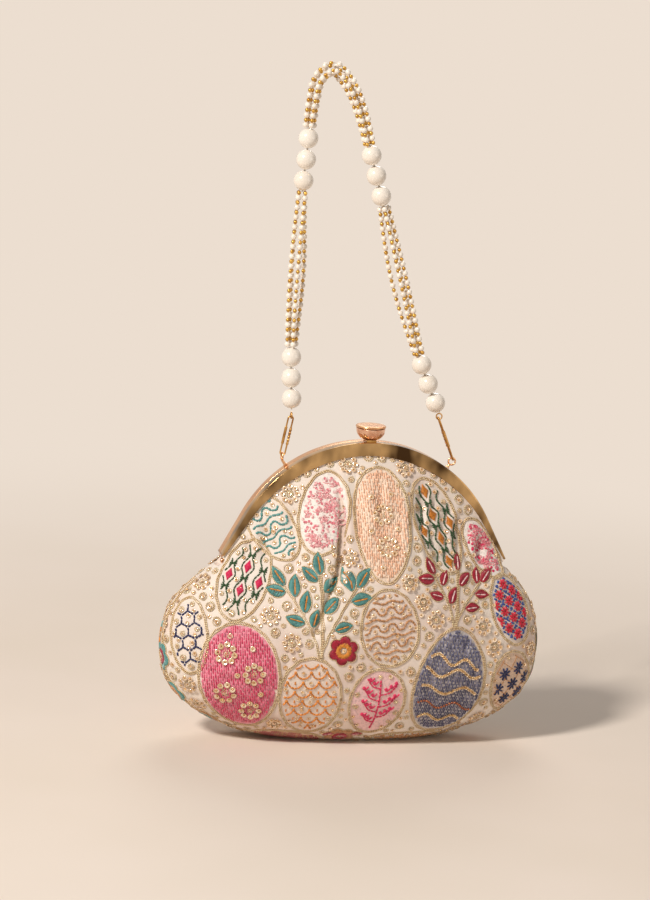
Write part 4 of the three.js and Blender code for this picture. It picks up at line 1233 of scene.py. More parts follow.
def stitches(spot, key, a, b, width=0.6, height=0.4, lift=0.0, jitter=0.0):
    """Straight stitches from a to b, each a low rounded bar that dips into the cloth at both ends."""
    a, b = np.asarray(a, float).reshape(-1, 2), np.asarray(b, float).reshape(-1, 2)
    if len(a) == 0:
        return
    if jitter:
        a = a + noise.normal(0, jitter, a.shape)
        b = b + noise.normal(0, jitter, b.shape)
    pa, na = spot.lay(a)
    pb, nb = spot.lay(b)
    ok = spot.cloth.free(pa) & spot.cloth.free(pb)
    pa, pb, n = pa[ok], pb[ok], (na + nb)[ok]
    if len(pa) == 0:
        return
    n /= np.linalg.norm(n, axis=1, keepdims=True) + 1e-9
    d = pb - pa
    length = np.linalg.norm(d, axis=1, keepdims=True) + 1e-9
    d = d / length
    s = np.cross(d, n)
    w = width / 2 * (1 + noise.uniform(-0.12, 0.12, (len(pa), 1)))
    m = len(pa)
    verts = np.empty((m, 10, 3))
    verts[:, 0] = pa + n * (lift - STITCH_DIP)
    verts[:, 9] = pb + n * (lift - STITCH_DIP)
    end = np.minimum(0.25 * length, STITCH_END)
    for k, at in ((1, pa + d * end), (5, pb - d * end)):
        low, high = n * (lift - 0.05), n * (lift + height * 1.25)
        for i, (share, up) in enumerate(((-1, low), (-0.5, high), (0.5, high), (1, low))):
            verts[:, k + i] = at + s * w * share + up
    base = (np.arange(m) * 10)[:, None]
    tris = np.concatenate([base + [tri] for tri in (
        [0, 2, 1], [0, 3, 2], [0, 4, 3], [9, 5, 6], [9, 6, 7], [9, 7, 8])])
    quads = np.concatenate([base + [quad] for quad in ([1, 2, 6, 5], [2, 3, 7, 6], [3, 4, 8, 7])])
    uv = np.zeros((m, 10, 2))
    uv[:, 5:, 0] = length
    spot.cloth.heap(key).add(verts.reshape(-1, 3), [tris, quads], uv.reshape(-1, 2))


def dash_line(spot, key, path, length=2.8, gap=0.1, width=1.3, height=0.6):
    """Stem stitch along a line."""
    fine = resample(path, 0.25)
    lens = lengths_of(fine)
    n = max(int(round(lens[-1] / length)), 1)
    step = lens[-1] / n
    at = lambda d: np.stack([np.interp(d, lens, fine[:, k]) for k in range(2)], 1)
    starts = np.arange(n) * step
    stitches(spot, key, at(starts), at(starts + step - gap + 0.35), width, height, jitter=0.06)


def cord(spot, key, path, radius=0.36, lift=0.26, closed=False, step=0.95, sides=4, wobble=0.2):
    """A laid cord that follows the cloth."""
    fine = resample(path, step, closed)
    if wobble:
        t = np.linspace(0, 1, len(fine), endpoint=not closed)
        turn = 2 * math.pi * t
        # about one wave in 9 mm
        waves = max(int(len(fine) * step / 9), 2)
        fine = fine + wobble * np.stack([np.sin(turn * waves + 1.3), np.cos(turn * (waves + 1) + 0.4)], 1)
    pos, nor = spot.lay(fine)
    ok = spot.cloth.free(pos)
    loop = closed and bool(ok.all())
    start = int(np.argmin(ok)) if closed else 0
    for run in runs_of(ok, np.roll(np.arange(len(pos)), -start)):
        if len(run) < 4:
            continue
        p, n = pos[run] + nor[run] * lift, nor[run]
        for _ in range(2):
            q = p.copy()
            q[1:-1] = (p[:-2] + 2 * p[1:-1] + p[2:]) / 4
            if loop:
                q[0] = (p[-1] + 2 * p[0] + p[1]) / 4
                q[-1] = (p[-2] + 2 * p[-1] + p[0]) / 4
            p = q
        spot.cloth.heap(key).add(*tube(p, radius, sides, normals=n, closed=loop, flat=0.9))


def double_cord(spot, path, apart=0.48, radius=0.44):
    """Two cords side by side round a shape, held by small cream stitches."""
    fine = resample(path, 0.6, True)
    for by in (apart, -apart):
        cord(spot, "cord", offset_path(fine, by, True), radius, closed=True)
    held = np.arange(2, len(fine) - 2, 6)
    outer, inner = offset_path(fine, apart + 0.3, True), offset_path(fine, -apart - 0.3, True)
    stitches(spot, "silk_cream", inner[held], outer[held], 0.22, 0.35, lift=0.3)


def patch(spot, key, margin=0.3, lift=0.16):
    """A thin padded ground under a filled shape."""
    rings, steps = 14, 64
    a = np.linspace(0, 2 * math.pi, steps, endpoint=False)
    pts = []
    for k in range(rings + 1):
        f = k / rings
        q = (spot.rz - margin) * np.sin(a) * f
        p = (spot.rx - margin) * np.cos(a) * f * (1 - spot.egg * np.sin(a) * f)
        pts.append(np.stack([p, q], 1))
    pts = np.concatenate(pts)
    pos, nor = spot.lay(pts)
    f = np.repeat(np.arange(rings + 1) / rings, steps)
    up = lift * np.clip((1 - f) * 8, 0, 1) + 0.02
    pos = pos + nor * up[:, None]
    ok = spot.cloth.free(pos)
    faces = ring_faces(rings + 1, steps)
    faces = faces[ok[faces].all(1)]
    if len(faces):
        spot.cloth.heap(key).add(pos, faces, pts)


def set_on(spot, key, pq, mesh, lift, tilt=0.0, order=(0, 1, 2)):
    """Copies of a small mesh set on the cloth; tilt turns each a little, order turns its axes."""
    pq = np.asarray(pq, float).reshape(-1, 2)
    if len(pq) == 0:
        return np.empty((0, 3)), None
    pos, nor = spot.lay(pq)
    ok = spot.cloth.free(pos)
    pos, nor = pos[ok], nor[ok]
    if tilt:
        nor = nor + noise.normal(0, tilt, nor.shape)
        nor /= np.linalg.norm(nor, axis=1, keepdims=True)
    ref = np.broadcast_to(spot.t, nor.shape)
    x = ref - nor * np.sum(ref * nor, 1, keepdims=True)
    x /= np.linalg.norm(x, axis=1, keepdims=True) + 1e-9
    axes = np.stack([x, np.cross(nor, x), nor], 2)
    pos = pos + nor * lift
    if len(pos):
        spot.cloth.heap(key).add(*instances(*mesh, pos, axes[:, :, list(order)]))
    return pos, axes


def disc(radius):
    """A cupped sequin with a hole."""
    prof = np.array([(0.24, 0.02), (0.3, 0.09), (0.72, 0.11), (0.99, 0.27), (0.98, 0.19), (0.6, 0.01),
                     (0.24, 0.02)])
    return lathe(prof * radius, 9)


def small_bead(radius):
    return lathe(sphere(radius, 4, radius * 0.3), 6)


def sequins(spot, pq, radius=1.9, lift=0.3, tilt=0.07):
    """Sequins, each held by a gold bead."""
    pos, axes = set_on(spot, "sequin", pq, disc(radius), lift, tilt)
    if len(pos):
        bead = small_bead(radius * 0.27)
        spot.cloth.heap("bead_gold").add(*instances(*bead, pos + axes[:, :, 2] * 0.22, axes))


def beads(spot, pq, radius=0.6, key="bead_gold", lift=0.45):
    set_on(spot, key, pq, small_bead(radius), lift, order=(1, 2, 0))


def knots(spot, pq, radius=0.6, key="silk_blush"):
    """French knots: small wound rings."""
    pts = loop_points(0, radius * 0.55, 5)[:, [0, 2, 1]]
    ring = tube(pts, radius * 0.5, 6, normals=np.tile([0, 0, 1.0], (10, 1)), closed=True)
    set_on(spot, key, pq, ring, 0.2, 0.15)


def coil(spot, at=(0, 0), radius=3.2, turns=1.6):
    """A spiral of gold cord round a sequin."""
    n = int(26 * turns)
    a = np.linspace(0, turns * 2 * math.pi, n) + rng.uniform(0, 6)
    path = ring_points(at, np.linspace(radius * 0.66, radius, n), a)
    cord(spot, "cord_bright", path, 0.3, 0.3, step=0.7, sides=5, wobble=0.03)
    sequins(spot, [at], radius * 0.52, lift=0.45)


def rosette(spot, at=(0, 0), radius=5.2, count=8, size=1.95):
    """A ring of sequins round a coil."""
    a = np.linspace(0, 2 * math.pi, count, endpoint=False) + rng.uniform(0, 1)
    sequins(spot, ring_points(at, radius, a), size, lift=0.75, tilt=0.1)
    coil(spot, at, 2.5, 1.8)


def region_stitches(spot, key, pitch, second, length=4.4):
    """Long stitches in upright columns, laid like bricks in two close shades."""
    half_width = lambda q: float(spot.width([q])[0])
    sets = {}
    for k, x in enumerate(np.arange(-spot.rx + pitch, spot.rx, pitch)):
        for low in np.arange(-spot.rz + (0.5 * length if k % 2 else 0), spot.rz, length):
            shift = rng.uniform(-0.45, 0.45)
            a, b = (x, low + shift), (x, low + length * 0.93 + shift)
            middle = (a[1] + b[1]) / 2
            if abs(x) > half_width(middle) - 0.7:
                continue
            a_in, b_in = abs(x) < half_width(a[1]) - 0.5, abs(x) < half_width(b[1]) - 0.5
            if not a_in:
                a = (x, middle)
            if not b_in:
                b = (x, (a[1] + b[1]) / 2)
            # one draw that keeps later ones as they are
            rng.random()
            starts, ends = sets.setdefault(key if rng.random() > 0.3 else second, ([], []))
            starts.append(a)
            ends.append(b)
    for use, (a, b) in sets.items():
        stitches(spot, use, a, b, 0.95, 0.5, lift=0.12, jitter=0.05)


def clip_path(spot, path, margin=1.0):
    """The runs of a path that lie inside the spot's outline."""
    path = resample(path, 0.4)
    return [path[run] for run in runs_of(spot.inside(path, margin), range(len(path))) if len(run) > 4]


def dash_inside(spot, key, path, **kw):
    for run in clip_path(spot, path):
        dash_line(spot, key, run, **kw)


def satin_shape(spot, key, spine, half_width, pitch=0.46, slant=0.16):
    """Satin stitches from a spine out to both edges of a leaf or petal."""
    spine = np.asarray(spine, float)
    lens = lengths_of(spine)
    n = max(int(lens[-1] / pitch), 4)
    t = (np.arange(n) + 0.5) / n
    at = lambda u: np.stack([np.interp(u * lens[-1], lens, spine[:, k]) for k in range(2)], 1)
    base = at(np.clip(t - slant / 2, 0, 1))
    tip = at(np.clip(t + slant / 2, 0, 1))
    d = at(np.clip(t + 0.02, 0, 1)) - at(np.clip(t - 0.02, 0, 1))
    d /= np.linalg.norm(d, axis=1, keepdims=True) + 1e-9
    nrm = np.stack([-d[:, 1], d[:, 0]], 1)
    w = half_width(np.clip(t + slant / 2, 0, 1))[:, None]
    for s in (-1, 1):
        stitches(spot, key, base, tip + s * nrm * w, 0.6, 0.5, lift=0.15, jitter=0.05)


def leaf(spot, at, angle, length, width, silk_key, vein_key):
    """A pointed satin leaf with a stitched midrib, outlined in gold cord."""
    ca, sa = math.cos(angle), math.sin(angle)
    place = lambda p: np.array(at) + np.stack([p[:, 0] * ca - p[:, 1] * sa, p[:, 0] * sa + p[:, 1] * ca], 1)
    half = lambda u: width / 2 * np.sin(math.pi * np.clip(u, 0, 1) ** 0.85) ** 0.85
    bow = lambda u: 0.05 * length * np.sin(math.pi * u)
    t = np.linspace(0, 1, 24)
    satin_shape(spot, silk_key, place(np.stack([t * length, bow(t)], 1)), half)
    a = place(np.array([[length * 0.1, 0.0], [length * 0.42, 0.1]]))
    b = place(np.array([[length * 0.46, 0.1], [length * 0.78, 0.15]]))
    stitches(spot, vein_key, a, b, 0.9, 0.45, lift=0.5)
    u = np.linspace(0, 1, 20)
    back = u[::-1]
    upper = np.stack([u * length, half(u) + 0.35 + bow(u)], 1)
    lower = np.stack([back * length, -half(back) - 0.35 + bow(back)], 1)
    cord(spot, "cord", place(np.concatenate([upper, lower])), 0.34, 0.3, closed=True, step=0.9, wobble=0.05)


def flower(spot, at, radius, petals, outer, inner, turn):
    """Satin petals round a coil, outlined in gold cord."""
    edge = lambda ang: radius * (0.66 + 0.34 * np.abs(np.cos(petals * (ang - turn) / 2)) ** 0.55)
    count = int(2 * math.pi * radius / 0.4)
    ang = np.linspace(0, 2 * math.pi, count, endpoint=False)
    middle = radius * 0.44 + noise.uniform(-0.5, 0.6, count)
    stitches(spot, outer, ring_points(at, middle, ang), ring_points(at, edge(ang) - 0.25, ang), 0.58, 0.5,
             lift=0.12, jitter=0.04)
    few = ang[::2]
    reach = radius * 0.5 + noise.uniform(-0.4, 0.9, len(few))
    stitches(spot, inner, ring_points(at, radius * 0.2, few), ring_points(at, reach, few), 0.62, 0.5,
             lift=0.28, jitter=0.04)
    a = np.linspace(0, 2 * math.pi, 240, endpoint=False)
    cord(spot, "cord", ring_points(at, edge(a) + 0.25, a), 0.36, 0.3, closed=True, step=0.9, wobble=0.05)
    coil(spot, at, radius * 0.31, 2.2)


def spray(spot, height, spread, leaf_len, leaf_w, silk_key, vein_key, per_side=3):
    """Leaves on three gold-corded stems that rise from one foot."""
    laid = []

    def room(at, a, length, width):
        """True, and noted, where a leaf keeps clear of those before it."""
        line = ring_points(at, length * np.array([0.2, 0.5, 0.8]), a)
        if any(np.min(np.linalg.norm(line[:, None] - other[None], axis=2)) < width * 0.98 for other in laid):
            return False
        laid.append(line)
        return True

    for stem, lean in enumerate((-1.0, 0.0, 1.0)):
        t = np.linspace(0, 1, 30)
        tall = height * (1.0 if lean == 0 else 0.86)
        x = lean * spread * t ** 1.4 + 1.2 * np.sin(2.6 * t + stem)
        y = tall * t
        path = np.stack([x, y], 1)
        cord(spot, "cord", path, 0.4, 0.3, step=0.9)
        cord(spot, "cord_bright", offset_path(path, 0.85), 0.36, 0.3, step=0.9)
        if lean == 0:
            cord(spot, "cord", offset_path(path, -0.85), 0.34, 0.28, step=0.9)
        marks = np.linspace(0.42 if lean else 0.3, 0.92, per_side * 2)
        for k, m in enumerate(marks):
            side = 1 if k % 2 else -1
            p = np.array([np.interp(m, t, x), np.interp(m, t, y)])
            q = np.array([np.interp(min(m + 0.05, 1), t, x), np.interp(min(m + 0.05, 1), t, y)])
            heading = math.atan2(q[1] - p[1], q[0] - p[0])
            if lean == 0 and k < 2:
                continue
            a = heading + side * rng.uniform(0.75, 0.95)
            foot = p + 2.0 * np.array([math.cos(a), math.sin(a)])
            size = rng.uniform(0.9, 1.08)
            if not room(foot, a, leaf_len * size, leaf_w * size):
                continue
            cord(spot, "cord", np.array([p, foot]), 0.24, 0.24, step=0.5, wobble=0)
            leaf(spot, foot, a, leaf_len * size, leaf_w * size, silk_key, vein_key)
        top = np.array([x[-1], y[-1]])
        heading = math.atan2(y[-1] - y[-4], x[-1] - x[-4])
        room(top, heading, leaf_len, leaf_w)
        leaf(spot, top + 0.4, heading, leaf_len, leaf_w, silk_key, vein_key)


# Fills for the outlined shapes

def fill_long(spot, silk_key, under, second, rosettes=(), small=()):
    """Long stitches under rings of sequins."""
    patch(spot, under)
    region_stitches(spot, silk_key, 1.3, second)
    for at in rosettes:
        rosette(spot, at)
    for at in small:
        sequins(spot, [at], 1.8, lift=0.7)


def fill_beaded(spot, silk_key, under, second, paths):
    """Long stitches under lines of sequins and beads."""
    patch(spot, under)
    region_stitches(spot, silk_key, 1.25, second)
    for k, path in enumerate(paths):
        fine = resample(path, 1.75)
        fine = fine[spot.inside(fine, 2.0)]
        if k % 3 == 2:
            beads(spot, fine, 0.8, "bead_copper", 0.85)
        else:
            sequins(spot, fine, 1.15, lift=0.75)
            beads(spot, fine[:-1] * 0.5 + fine[1:] * 0.5, 0.6, "bead_gold", 0.95)


def fill_lattice(spot, green="silk_green", gem="silk_amber", pitch=9.4, tall=15.0):
    """Twining stems with satin lozenges between them and small leaves where they meet."""
    cols = np.arange(-2, 3) * pitch
    q = np.arange(-spot.rz, spot.rz, 0.5)
    for k, x in enumerate(cols):
        phase = tall / 2 if k % 2 else 0.0
        bow = 0.7 + 3.1 * np.sin(math.pi * (q + phase) / tall) ** 2
        for s in (-1, 1):
            dash_inside(spot, green, np.stack([x + s * bow, q], 1), length=2.5, width=1.0)
        for turn in range(-4, 5):
            qc = (turn + 0.5) * tall - phase
            if spot.inside([(x, qc + 3.4), (x, qc - 3.4)], 1.2).all():
                u = np.linspace(-1, 1, 17)[1:-1]
                left, right = (np.stack([x + s * 2.5 * (1 - np.abs(u)), qc + 4.3 * u], 1) for s in (-1, 1))
                stitches(spot, gem, left, right, 0.66, 0.6, lift=0.12)
            kq = turn * tall - phase
            if spot.inside([(x, kq)], 1.8)[0]:
                arm = np.array([[x, kq]] * 6)
                leaves = ((2.3, 1.6), (2.6, 0.0), (2.2, -1.6))
                tip = np.array([[x + s * dx, kq + dy] for s in (-1, 1) for dx, dy in leaves])
                stitches(spot, green, arm, tip, 0.9, 0.6, lift=0.2)


def fill_net(spot, key="silk_navy", size=8.2):
    """A net of stem stitch with sequins in its meshes."""
    for row in range(-6, 7):
        for col in range(-5, 6):
            cx, cy = col * size * 1.73 * 0.58 + (size * 0.5 if row % 2 else 0), row * size * 0.87
            for a0 in (math.pi / 2, math.pi / 2 + 2 * math.pi / 3, math.pi / 2 + 4 * math.pi / 3):
                tip = (cx + size * 0.55 * math.cos(a0), cy + size * 0.55 * math.sin(a0))
                bend = ((cx + tip[0]) / 2 + 0.5, (cy + tip[1]) / 2)
                dash_inside(spot, key, np.array([(cx, cy), bend, tip]), length=2.3, width=1.25)
            if (row + col) % 2 == 0 and spot.inside([(cx + size * 0.5, cy)], 1.8)[0]:
                sequins(spot, [(cx + size * 0.5, cy)], 1.2)


def fill_knots(spot, keys=("silk_blush", "silk_pink_pale", "silk_rose"), count=260):
    """Scattered knots with short curls between them."""
    patch(spot, "patch_white")
    pts = []
    for _ in range(count):
        a, r = rng.uniform(0, 2 * math.pi), math.sqrt(rng.random())
        pts.append((spot.rx * 0.9 * r * math.cos(a), spot.rz * 0.9 * r * math.sin(a)))
    pts = np.array(pts)
    pts = pts[spot.inside(pts, 1.6)]
    for k, key in enumerate(keys):
        knots(spot, pts[k::len(keys)], 0.85, key)
    for c in pts[::6]:
        a = np.linspace(0, rng.uniform(2, 5), 10) + rng.uniform(0, 6)
        path = np.stack([c[0] + 2.2 * np.cos(a), c[1] + 1.7 * np.sin(a)], 1)
        dash_inside(spot, keys[0], path, length=1.7, width=0.8)


def fill_waves(spot, key="silk_tan", gap=5.0):
    """Rows of waves and squared meanders, with sequins in the bays."""
    q = -spot.rz + 2.6
    k = 0
    while q < spot.rz:
        x = np.arange(-spot.rx, spot.rx, 0.5)
        if k % 2:
            y = q + 1.0 * np.sin(2 * math.pi * x / 11.0)
            dash_inside(spot, key, np.stack([x, y], 1), length=2.6, width=1.35)
        else:
            step = 2.3 * np.clip(1.9 * np.sin(2 * math.pi * x / 11.0 + 0.6), -1, 1)
            dash_inside(spot, key, np.stack([x, q + step], 1), length=2.2, width=1.35)
            for c in np.arange(-22, 24, 5.5):
                at = (c - 1.05 + 2.75, q + (1.4 if int(round(c / 5.5)) % 2 else -1.4))
                if spot.inside([at], 2.0)[0]:
                    sequins(spot, [at], 1.35)
        q += gap
        k += 1


def fill_scallop(spot, key="silk_orange", size=9.4):
    """Rows of scallops with sequins and single stitches."""
    for row in range(-8, 9):
        for col in range(-5, 6):
            cx, cy = col * size + (size / 2 if row % 2 else 0), row * size * 0.66
            a = np.linspace(math.pi * 1.02, math.pi * 1.98, 16)
            path = np.stack([cx + size / 2 * np.cos(a), cy + size * 0.56 * np.sin(a)], 1)
            dash_inside(spot, key, path, length=2.1, width=1.15)
            if spot.inside([(cx, cy - 1.8)], 2.0)[0]:
                if (row + col) % 2 == 0:
                    sequins(spot, [(cx, cy - 1.6)], 1.3)
                else:
                    stitches(spot, key, [(cx, cy - 3.0)], [(cx, cy - 0.6)], 0.9, 0.5)
            if spot.inside([(cx, cy - 1.8)], 2.0)[0] and (row + col) % 3 == 0:
                sequins(spot, [(cx + size * 0.25, cy + 0.4)], 1.0)


def star(spot, at, radius, key, width=1.15):
    a = np.linspace(0, 2 * math.pi, 8, endpoint=False) + 0.2
    inner, outer = ring_points(at, 0.25, a), ring_points(at, radius, a)
    ok = spot.inside(outer, 0.9)
    stitches(spot, key, inner[ok], outer[ok], width, 0.75, lift=0.15)


def fill_stars(spot, key="silk_navy", line="silk_tan", size=11.0, under="patch_tan"):
    """Stars on a slanting grid of thin lines."""
    patch(spot, under)
    for s in (-1, 1):
        for k in np.arange(-6, 7) * size / 1.42:
            u = np.arange(-40, 40, 0.5)
            path = np.stack([u * 0.7071 + k * 0.7071 * s, s * u * 0.7071 - k * 0.7071], 1)
            dash_inside(spot, line, path, length=2.6, width=0.8, height=0.4)
    for row in range(-5, 6):
        for col in range(-5, 6):
            at = (col * size + (size / 2 if row % 2 else 0), row * size * 0.8)
            if spot.inside([at], 2.6)[0]:
                star(spot, at, 4.3, key)


def fill_branch(spot, key="silk_magenta", under="patch_blush"):
    """A stem with side twigs and small leaves."""
    patch(spot, under)
    t = np.linspace(0, 1, 30)
    trunk = np.stack([1.2 * np.sin(3 * t), -spot.rz * 0.86 + 1.6 * spot.rz * t], 1)
    dash_inside(spot, key, trunk, length=2.4, width=1.3)
    for k, m in enumerate(np.linspace(0.16, 0.84, 7)):
        s = 1 if k % 2 else -1
        p = np.array([np.interp(m, t, trunk[:, 0]), np.interp(m, t, trunk[:, 1])])
        reach = 0.62 * float(spot.width([p[1]])[0])
        tip = p + np.array([s * reach, reach * 0.7])
        bend = p + np.array([s * reach * 0.6, reach * 0.15])
        dash_inside(spot, key, np.array([p, bend, tip]), length=2.2, width=1.1)
        for f in (0.4, 0.7, 1.0):
            c = p + (tip - p) * f
            for side in (-1, 1):
                a = c + np.array([side * 1.5, 2.1])
                if spot.inside([a], 1.0)[0]:
                    stitches(spot, key, [c, c + 0.3, c - 0.3], [a, a + 0.4, a - 0.4], 1.0, 0.6, lift=0.12)


def fill_cross(spot, red="silk_red", blue="silk_blue", size=10.4):
    """Crossing broken lines with stars between them."""
    for s in (-1, 1):
        for k in range(-6, 7):
            u = np.arange(-40, 40, 0.5)
            c = k * size * 0.7071
            path = np.stack([u * 0.7071 + c * 0.7071, s * (u * 0.7071 - c * 0.7071)], 1)
            dash_inside(spot, blue, path, length=3.2, gap=0.9, width=1.3)
    for row in range(-6, 7):
        for col in range(-6, 7):
            at = (col * size / 2, row * size / 2)
            if (row + col) % 2 and spot.inside([at], 1.8)[0]:
                star(spot, at, 3.3, red, 1.2)


def shape(cloth, x, z, rx, rz, rot, fill, *args, egg=0.0, **kw):
    """A filled egg with its outline."""
    spot = Spot(cloth, x, z, rot, rx, rz, egg)
    fill(spot, *args, **kw)
    double_cord(spot, spot.outline(OUTLINE_STEPS, 0.9))
    return spot


SILKS = {
    "silk_pink": (216, 70, 108), "silk_pink_light": (234, 124, 150), "silk_slate": (88, 88, 120),
    "silk_slate_light": (134, 130, 154), "silk_teal": (92, 156, 152), "silk_crimson": (168, 16, 48),
    "silk_red": (214, 34, 62), "silk_amber": (222, 140, 48), "silk_orange": (222, 138, 52),
    "silk_tan": (196, 142, 94), "silk_navy": (26, 34, 84), "silk_blue": (50, 78, 150),
    "silk_green": (38, 76, 34), "silk_peach": (242, 190, 156), "silk_peach_light": (249, 218, 194),
    "silk_blush": (236, 170, 172), "silk_pink_pale": (246, 204, 202), "silk_rose": (228, 130, 142),
    "silk_magenta": (222, 44, 96), "silk_cream": (240, 224, 198)}
PATCHES = {
    "patch_pink": (238, 158, 174), "patch_slate": (206, 200, 200), "patch_peach": (252, 228, 206),
    "patch_white": (246, 236, 228), "patch_tan": (232, 202, 178), "patch_blush": (246, 206, 204)}
OUTLINE_STEPS = 160


def echo(cloth, spot, grow=2.1):
    """A second couched line round a shape, only where nothing else lies."""
    path = spot.outline(OUTLINE_STEPS, grow)
    pos, nor = spot.lay(path)
    keep = cloth.room(pos + nor * 0.3) > 0.8
    keep = keep & np.roll(keep, 1) & np.roll(keep, -1)
    run = []
    for k in list(range(OUTLINE_STEPS)) * 2:
        if keep[k] and len(run) < OUTLINE_STEPS:
            run.append(k)
            continue
        if len(run) > 9:
            cord(spot, "cord", path[run], 0.36, 0.28, step=0.9, wobble=0.1)
            keep[run] = False
        run = []


def fill_room(cloth, flowers, least):
    """Flowers, rings of sequins and coils set one by one in the widest bare place left."""
    g = PANELS[cloth.side][0]
    spots = g[2:-2:2, 4:-3:2].reshape(-1, 3)
    dist = cloth.room(spots)
    edge = g.reshape(-1, 3)[::3]
    edge = edge[~cloth.free(edge)]
    tree = tree_of(edge)
    dist = np.minimum(dist, np.array([tree.find(q)[2] for q in spots.tolist()]) + 0.4)
    dist[~cloth.free(spots)] = 0
    flowers = list(flowers)
    for _ in range(420):
        k = int(np.argmax(dist))
        d = float(dist[k])
        if d < least:
            break
        spot = Spot.at(cloth, spots[k], rng.uniform(0, 360))
        if d > 6.4 and flowers:
            used = min(d - 0.9, 9.2)
            petals, outer, inner = flowers.pop(0)
            flower(spot, (0, 0), used, petals, outer, inner, rng.uniform(0, 1))
        elif d > 5.6:
            used = min(d - 0.6, 6.2)
            rosette(spot, (0, 0), used - 1.7, 8, 1.6)
        elif d > 2.3:
            used = min(d - 0.55, 3.5)
            coil(spot, (0, 0), used - 0.3)
        else:
            used = d - 0.3
            sequins(spot, [(0, 0)], min(used, 1.5))
        gap = 0.75 if d > 2.3 else 1.6
        dist = np.minimum(dist, np.linalg.norm(spots - spots[k], axis=1) - used - gap + 0.5)


def base_trail(cloth):
    """Small leaves that run just above the base."""
    for k, x in enumerate(np.linspace(-64, 58, 15)):
        p = cloth.nearest(np.array([[x, cloth.side * 26.0, 1.0]]))[0]
        spot = Spot.at(cloth, p[0], 0)
        if cloth.room(p)[0] > 3.2:
            leaf(spot, (-3.5, 0.4), 0.25 if k % 2 else -0.25, 7.5, 3.9, "silk_crimson", "silk_blush")


def finish_layout(cloth, made, least, flowers):
    """What comes after the shapes and sprays: second lines, the trail at the base, and the bare places."""
    cloth.survey()
    for spot in made:
        echo(cloth, spot)
    cloth.survey()
    base_trail(cloth)
    fill_room(cloth, flowers, least)


def front_layout(c):
    made = [
        shape(c, -79, 41, 23, 33, 9, fill_long, "silk_pink", "patch_pink", "silk_pink_light", egg=-0.08,
              rosettes=((-7, 17), (9, 4), (-9, -7), (5, -20)), small=((9, 19), (-1, 4), (12, -9), (-4, 27)))]
    t = np.linspace(0, 1, 60)
    wander = [np.stack([-half + 2 * half * t, q - drop * t + tall * np.sin(beat * t + start)], 1)
              for half, q, drop, tall, beat, start in (
                  (16, 17, 4, 2.4, 11, 0), (18, 8, 0, 2.6, 10, 2), (19, -13, 0, 2.2, 12, 0),
                  (18, -3, 0, 2.4, 9, 1), (14, -22, 0, 2.0, 10, 0))]
    made += [
        shape(c, 50, 40, 22, 33, -8, fill_beaded, "silk_slate", "patch_slate", "silk_slate_light", wander,
              egg=0.05),
        shape(c, 5, 136, 16, 34, 3, fill_long, "silk_peach", "patch_peach", "silk_peach_light", egg=-0.1,
              rosettes=((0, 6), (2, -14)), small=((-8, -4), (6, 18), (-6, 17), (-2, -26), (9, -3))),
        shape(c, -77, 101, 14, 25, -22, fill_lattice, "silk_green", "silk_magenta"),
        shape(c, 41, 134, 14, 29, 20, fill_lattice, "silk_green", "silk_amber"),
        shape(c, -30, 141, 14, 25, -10, fill_knots),
        shape(c, 9, 76, 17, 22, 8, fill_waves, "silk_tan", egg=0.06),
        shape(c, -36, 31, 17.5, 25, 4, fill_scallop, "silk_orange", egg=-0.06),
        shape(c, 5, 28, 16, 22, -3, fill_branch, "silk_magenta", "patch_blush", egg=-0.1),
        shape(c, 90, 84, 13, 21, 20, fill_cross),
        shape(c, 93, 38, 15, 20, 8, fill_stars),
        shape(c, -109, 66, 11, 22, 6, fill_net),
        shape(c, -60, 131, 12, 23, 32, fill_waves, "silk_teal"),
        shape(c, 72, 119, 9, 20, 34, fill_knots, ("silk_rose", "silk_blush", "silk_magenta"), 150),
        shape(c, -44, 3, 20, 8, 4, fill_long, "silk_crimson", "patch_tan", "silk_tan"),
        shape(c, 28, 3, 22, 7, -3, fill_waves, "silk_tan")]
    spray(Spot(c, -33, 57), 46, 22, 11.4, 6.4, "silk_teal", "silk_amber")
    spray(Spot(c, 50, 75, -8), 34, 18, 10.4, 6.0, "silk_crimson", "silk_pink_pale", 2)
    finish_layout(c, made, 1.55, (
        (6, "silk_tan", "silk_magenta"), (5, "silk_teal", "silk_amber"), (6, "silk_green", "silk_crimson"),
        (6, "silk_tan", "silk_teal"), (5, "silk_teal", "silk_crimson"), (6, "silk_crimson", "silk_amber"),
        (5, "silk_tan", "silk_crimson"), (6, "silk_teal", "silk_magenta")))


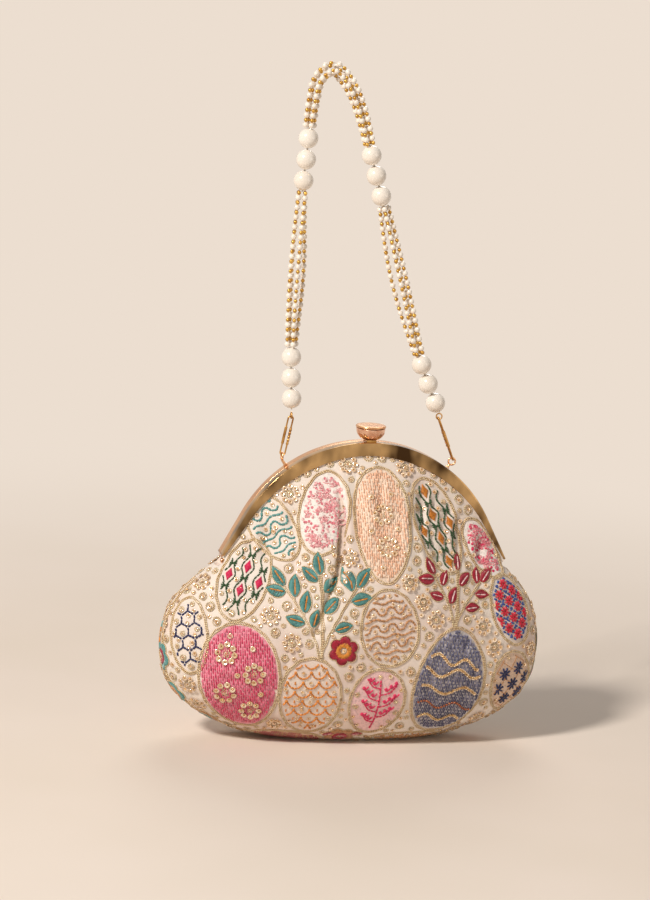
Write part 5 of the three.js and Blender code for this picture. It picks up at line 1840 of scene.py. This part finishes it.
def back_layout(c):
    made = [
        shape(c, 66, 42, 23, 33, -6, fill_long, "silk_slate", "patch_slate", "silk_slate_light", egg=0.05,
              rosettes=((-6, 15), (7, 0), (-6, -15)), small=((8, 17), (-10, 0), (6, -20))),
        shape(c, -66, 40, 23, 31, 8, fill_long, "silk_peach", "patch_peach", "silk_peach_light",
              rosettes=((4, 13), (-8, -4), (6, -17)), small=((-9, 13), (11, 0))),
        shape(c, 4, 130, 16, 32, -2, fill_lattice, "silk_green", "silk_amber"),
        shape(c, -43, 128, 14, 28, 24, fill_waves, "silk_teal"),
        shape(c, 47, 128, 14, 28, -24, fill_cross),
        shape(c, 8, 34, 18, 26, 3, fill_long, "silk_pink", "patch_pink", "silk_pink_light",
              rosettes=((0, 10), (0, -9))),
        shape(c, 30, 84, 14, 19, -12, fill_stars),
        shape(c, -92, 82, 12.5, 22, -20, fill_lattice, "silk_green", "silk_magenta"),
        shape(c, 96, 80, 11, 22, 20, fill_net),
        shape(c, -27, 24, 15, 19, 8, fill_branch, "silk_magenta", "patch_blush"),
        shape(c, 37, 14, 12, 13, -6, fill_scallop, "silk_orange"),
        shape(c, -101, 38, 11, 20, 8, fill_knots),
        shape(c, 100, 38, 11, 19, -6, fill_waves, "silk_tan")]
    spray(Spot(c, -28, 56), 44, 20, 11, 6.2, "silk_crimson", "silk_pink_pale")
    spray(Spot(c, 68, 84, 6), 24, 14, 9.6, 5.6, "silk_teal", "silk_amber", 2)
    finish_layout(c, made, 1.9, (
        (6, "silk_teal", "silk_amber"), (5, "silk_tan", "silk_crimson"), (6, "silk_green", "silk_crimson"),
        (5, "silk_tan", "silk_teal"), (6, "silk_crimson", "silk_amber"), (5, "silk_teal", "silk_magenta")))


def seam_cords(c):
    """Gold cord couched along both sides of the seam."""
    g, n = PANELS[c.side]
    for row, radius in ((-6, 0.42), (-9, 0.34)):
        nor = n[6:-6, row]
        p = g[6:-6, row] + nor * 0.28
        for run in runs_of(p[:, 2] > 0.9, range(len(p))):
            if len(run) > 5:
                c.heap("cord").add(*tube(p[run], radius, 6, normals=nor[run]))


THREADS = {key: silk(key, rgb) for key, rgb in SILKS.items()}
THREADS.update((key, silk(key, rgb, 0.9, 1.04, 0.6, 0.2)) for key, rgb in PATCHES.items())
# the second colour of each cord is the painted shade for the grooves between its plies
THREADS["cord"] = cord_material("cord_gold", (248, 222, 184), (166, 126, 84))
THREADS["cord_bright"] = cord_material("cord_bright", (254, 236, 204), (180, 144, 100))
THREADS["sequin"] = metal_material("sequin_metal", (254, 236, 212), 0.16, (222, 184, 142), 0.16, 420, metal=0.7)
THREADS["bead_gold"] = metal_material("bead_gold", (226, 196, 140), 0.28, (168, 128, 72), 0.2, 500, metal=0.8)
THREADS["bead_copper"] = metal_material("bead_copper", (204, 132, 96), 0.3, (140, 74, 50), 0.2, 500, metal=0.75)

for side, layout in ((-1, front_layout), (1, back_layout)):
    cloth = Cloth(side)
    layout(cloth)
    seam_cords(cloth)
    for key, heap in sorted(cloth.heaps.items()):
        # nothing reaches under the ground
        heap.verts = [np.maximum(v, [-np.inf, -np.inf, 0.0]) for v in heap.verts]
        ride_panel(heap.build(cloth.word + "_" + key, THREADS[key], None, slot="embroidered_cloth"), side)

boxes = {"cad": cad_box, "visual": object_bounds()}
{word: [list(map(float, p)) for p in box] for word, box in boxes.items()}
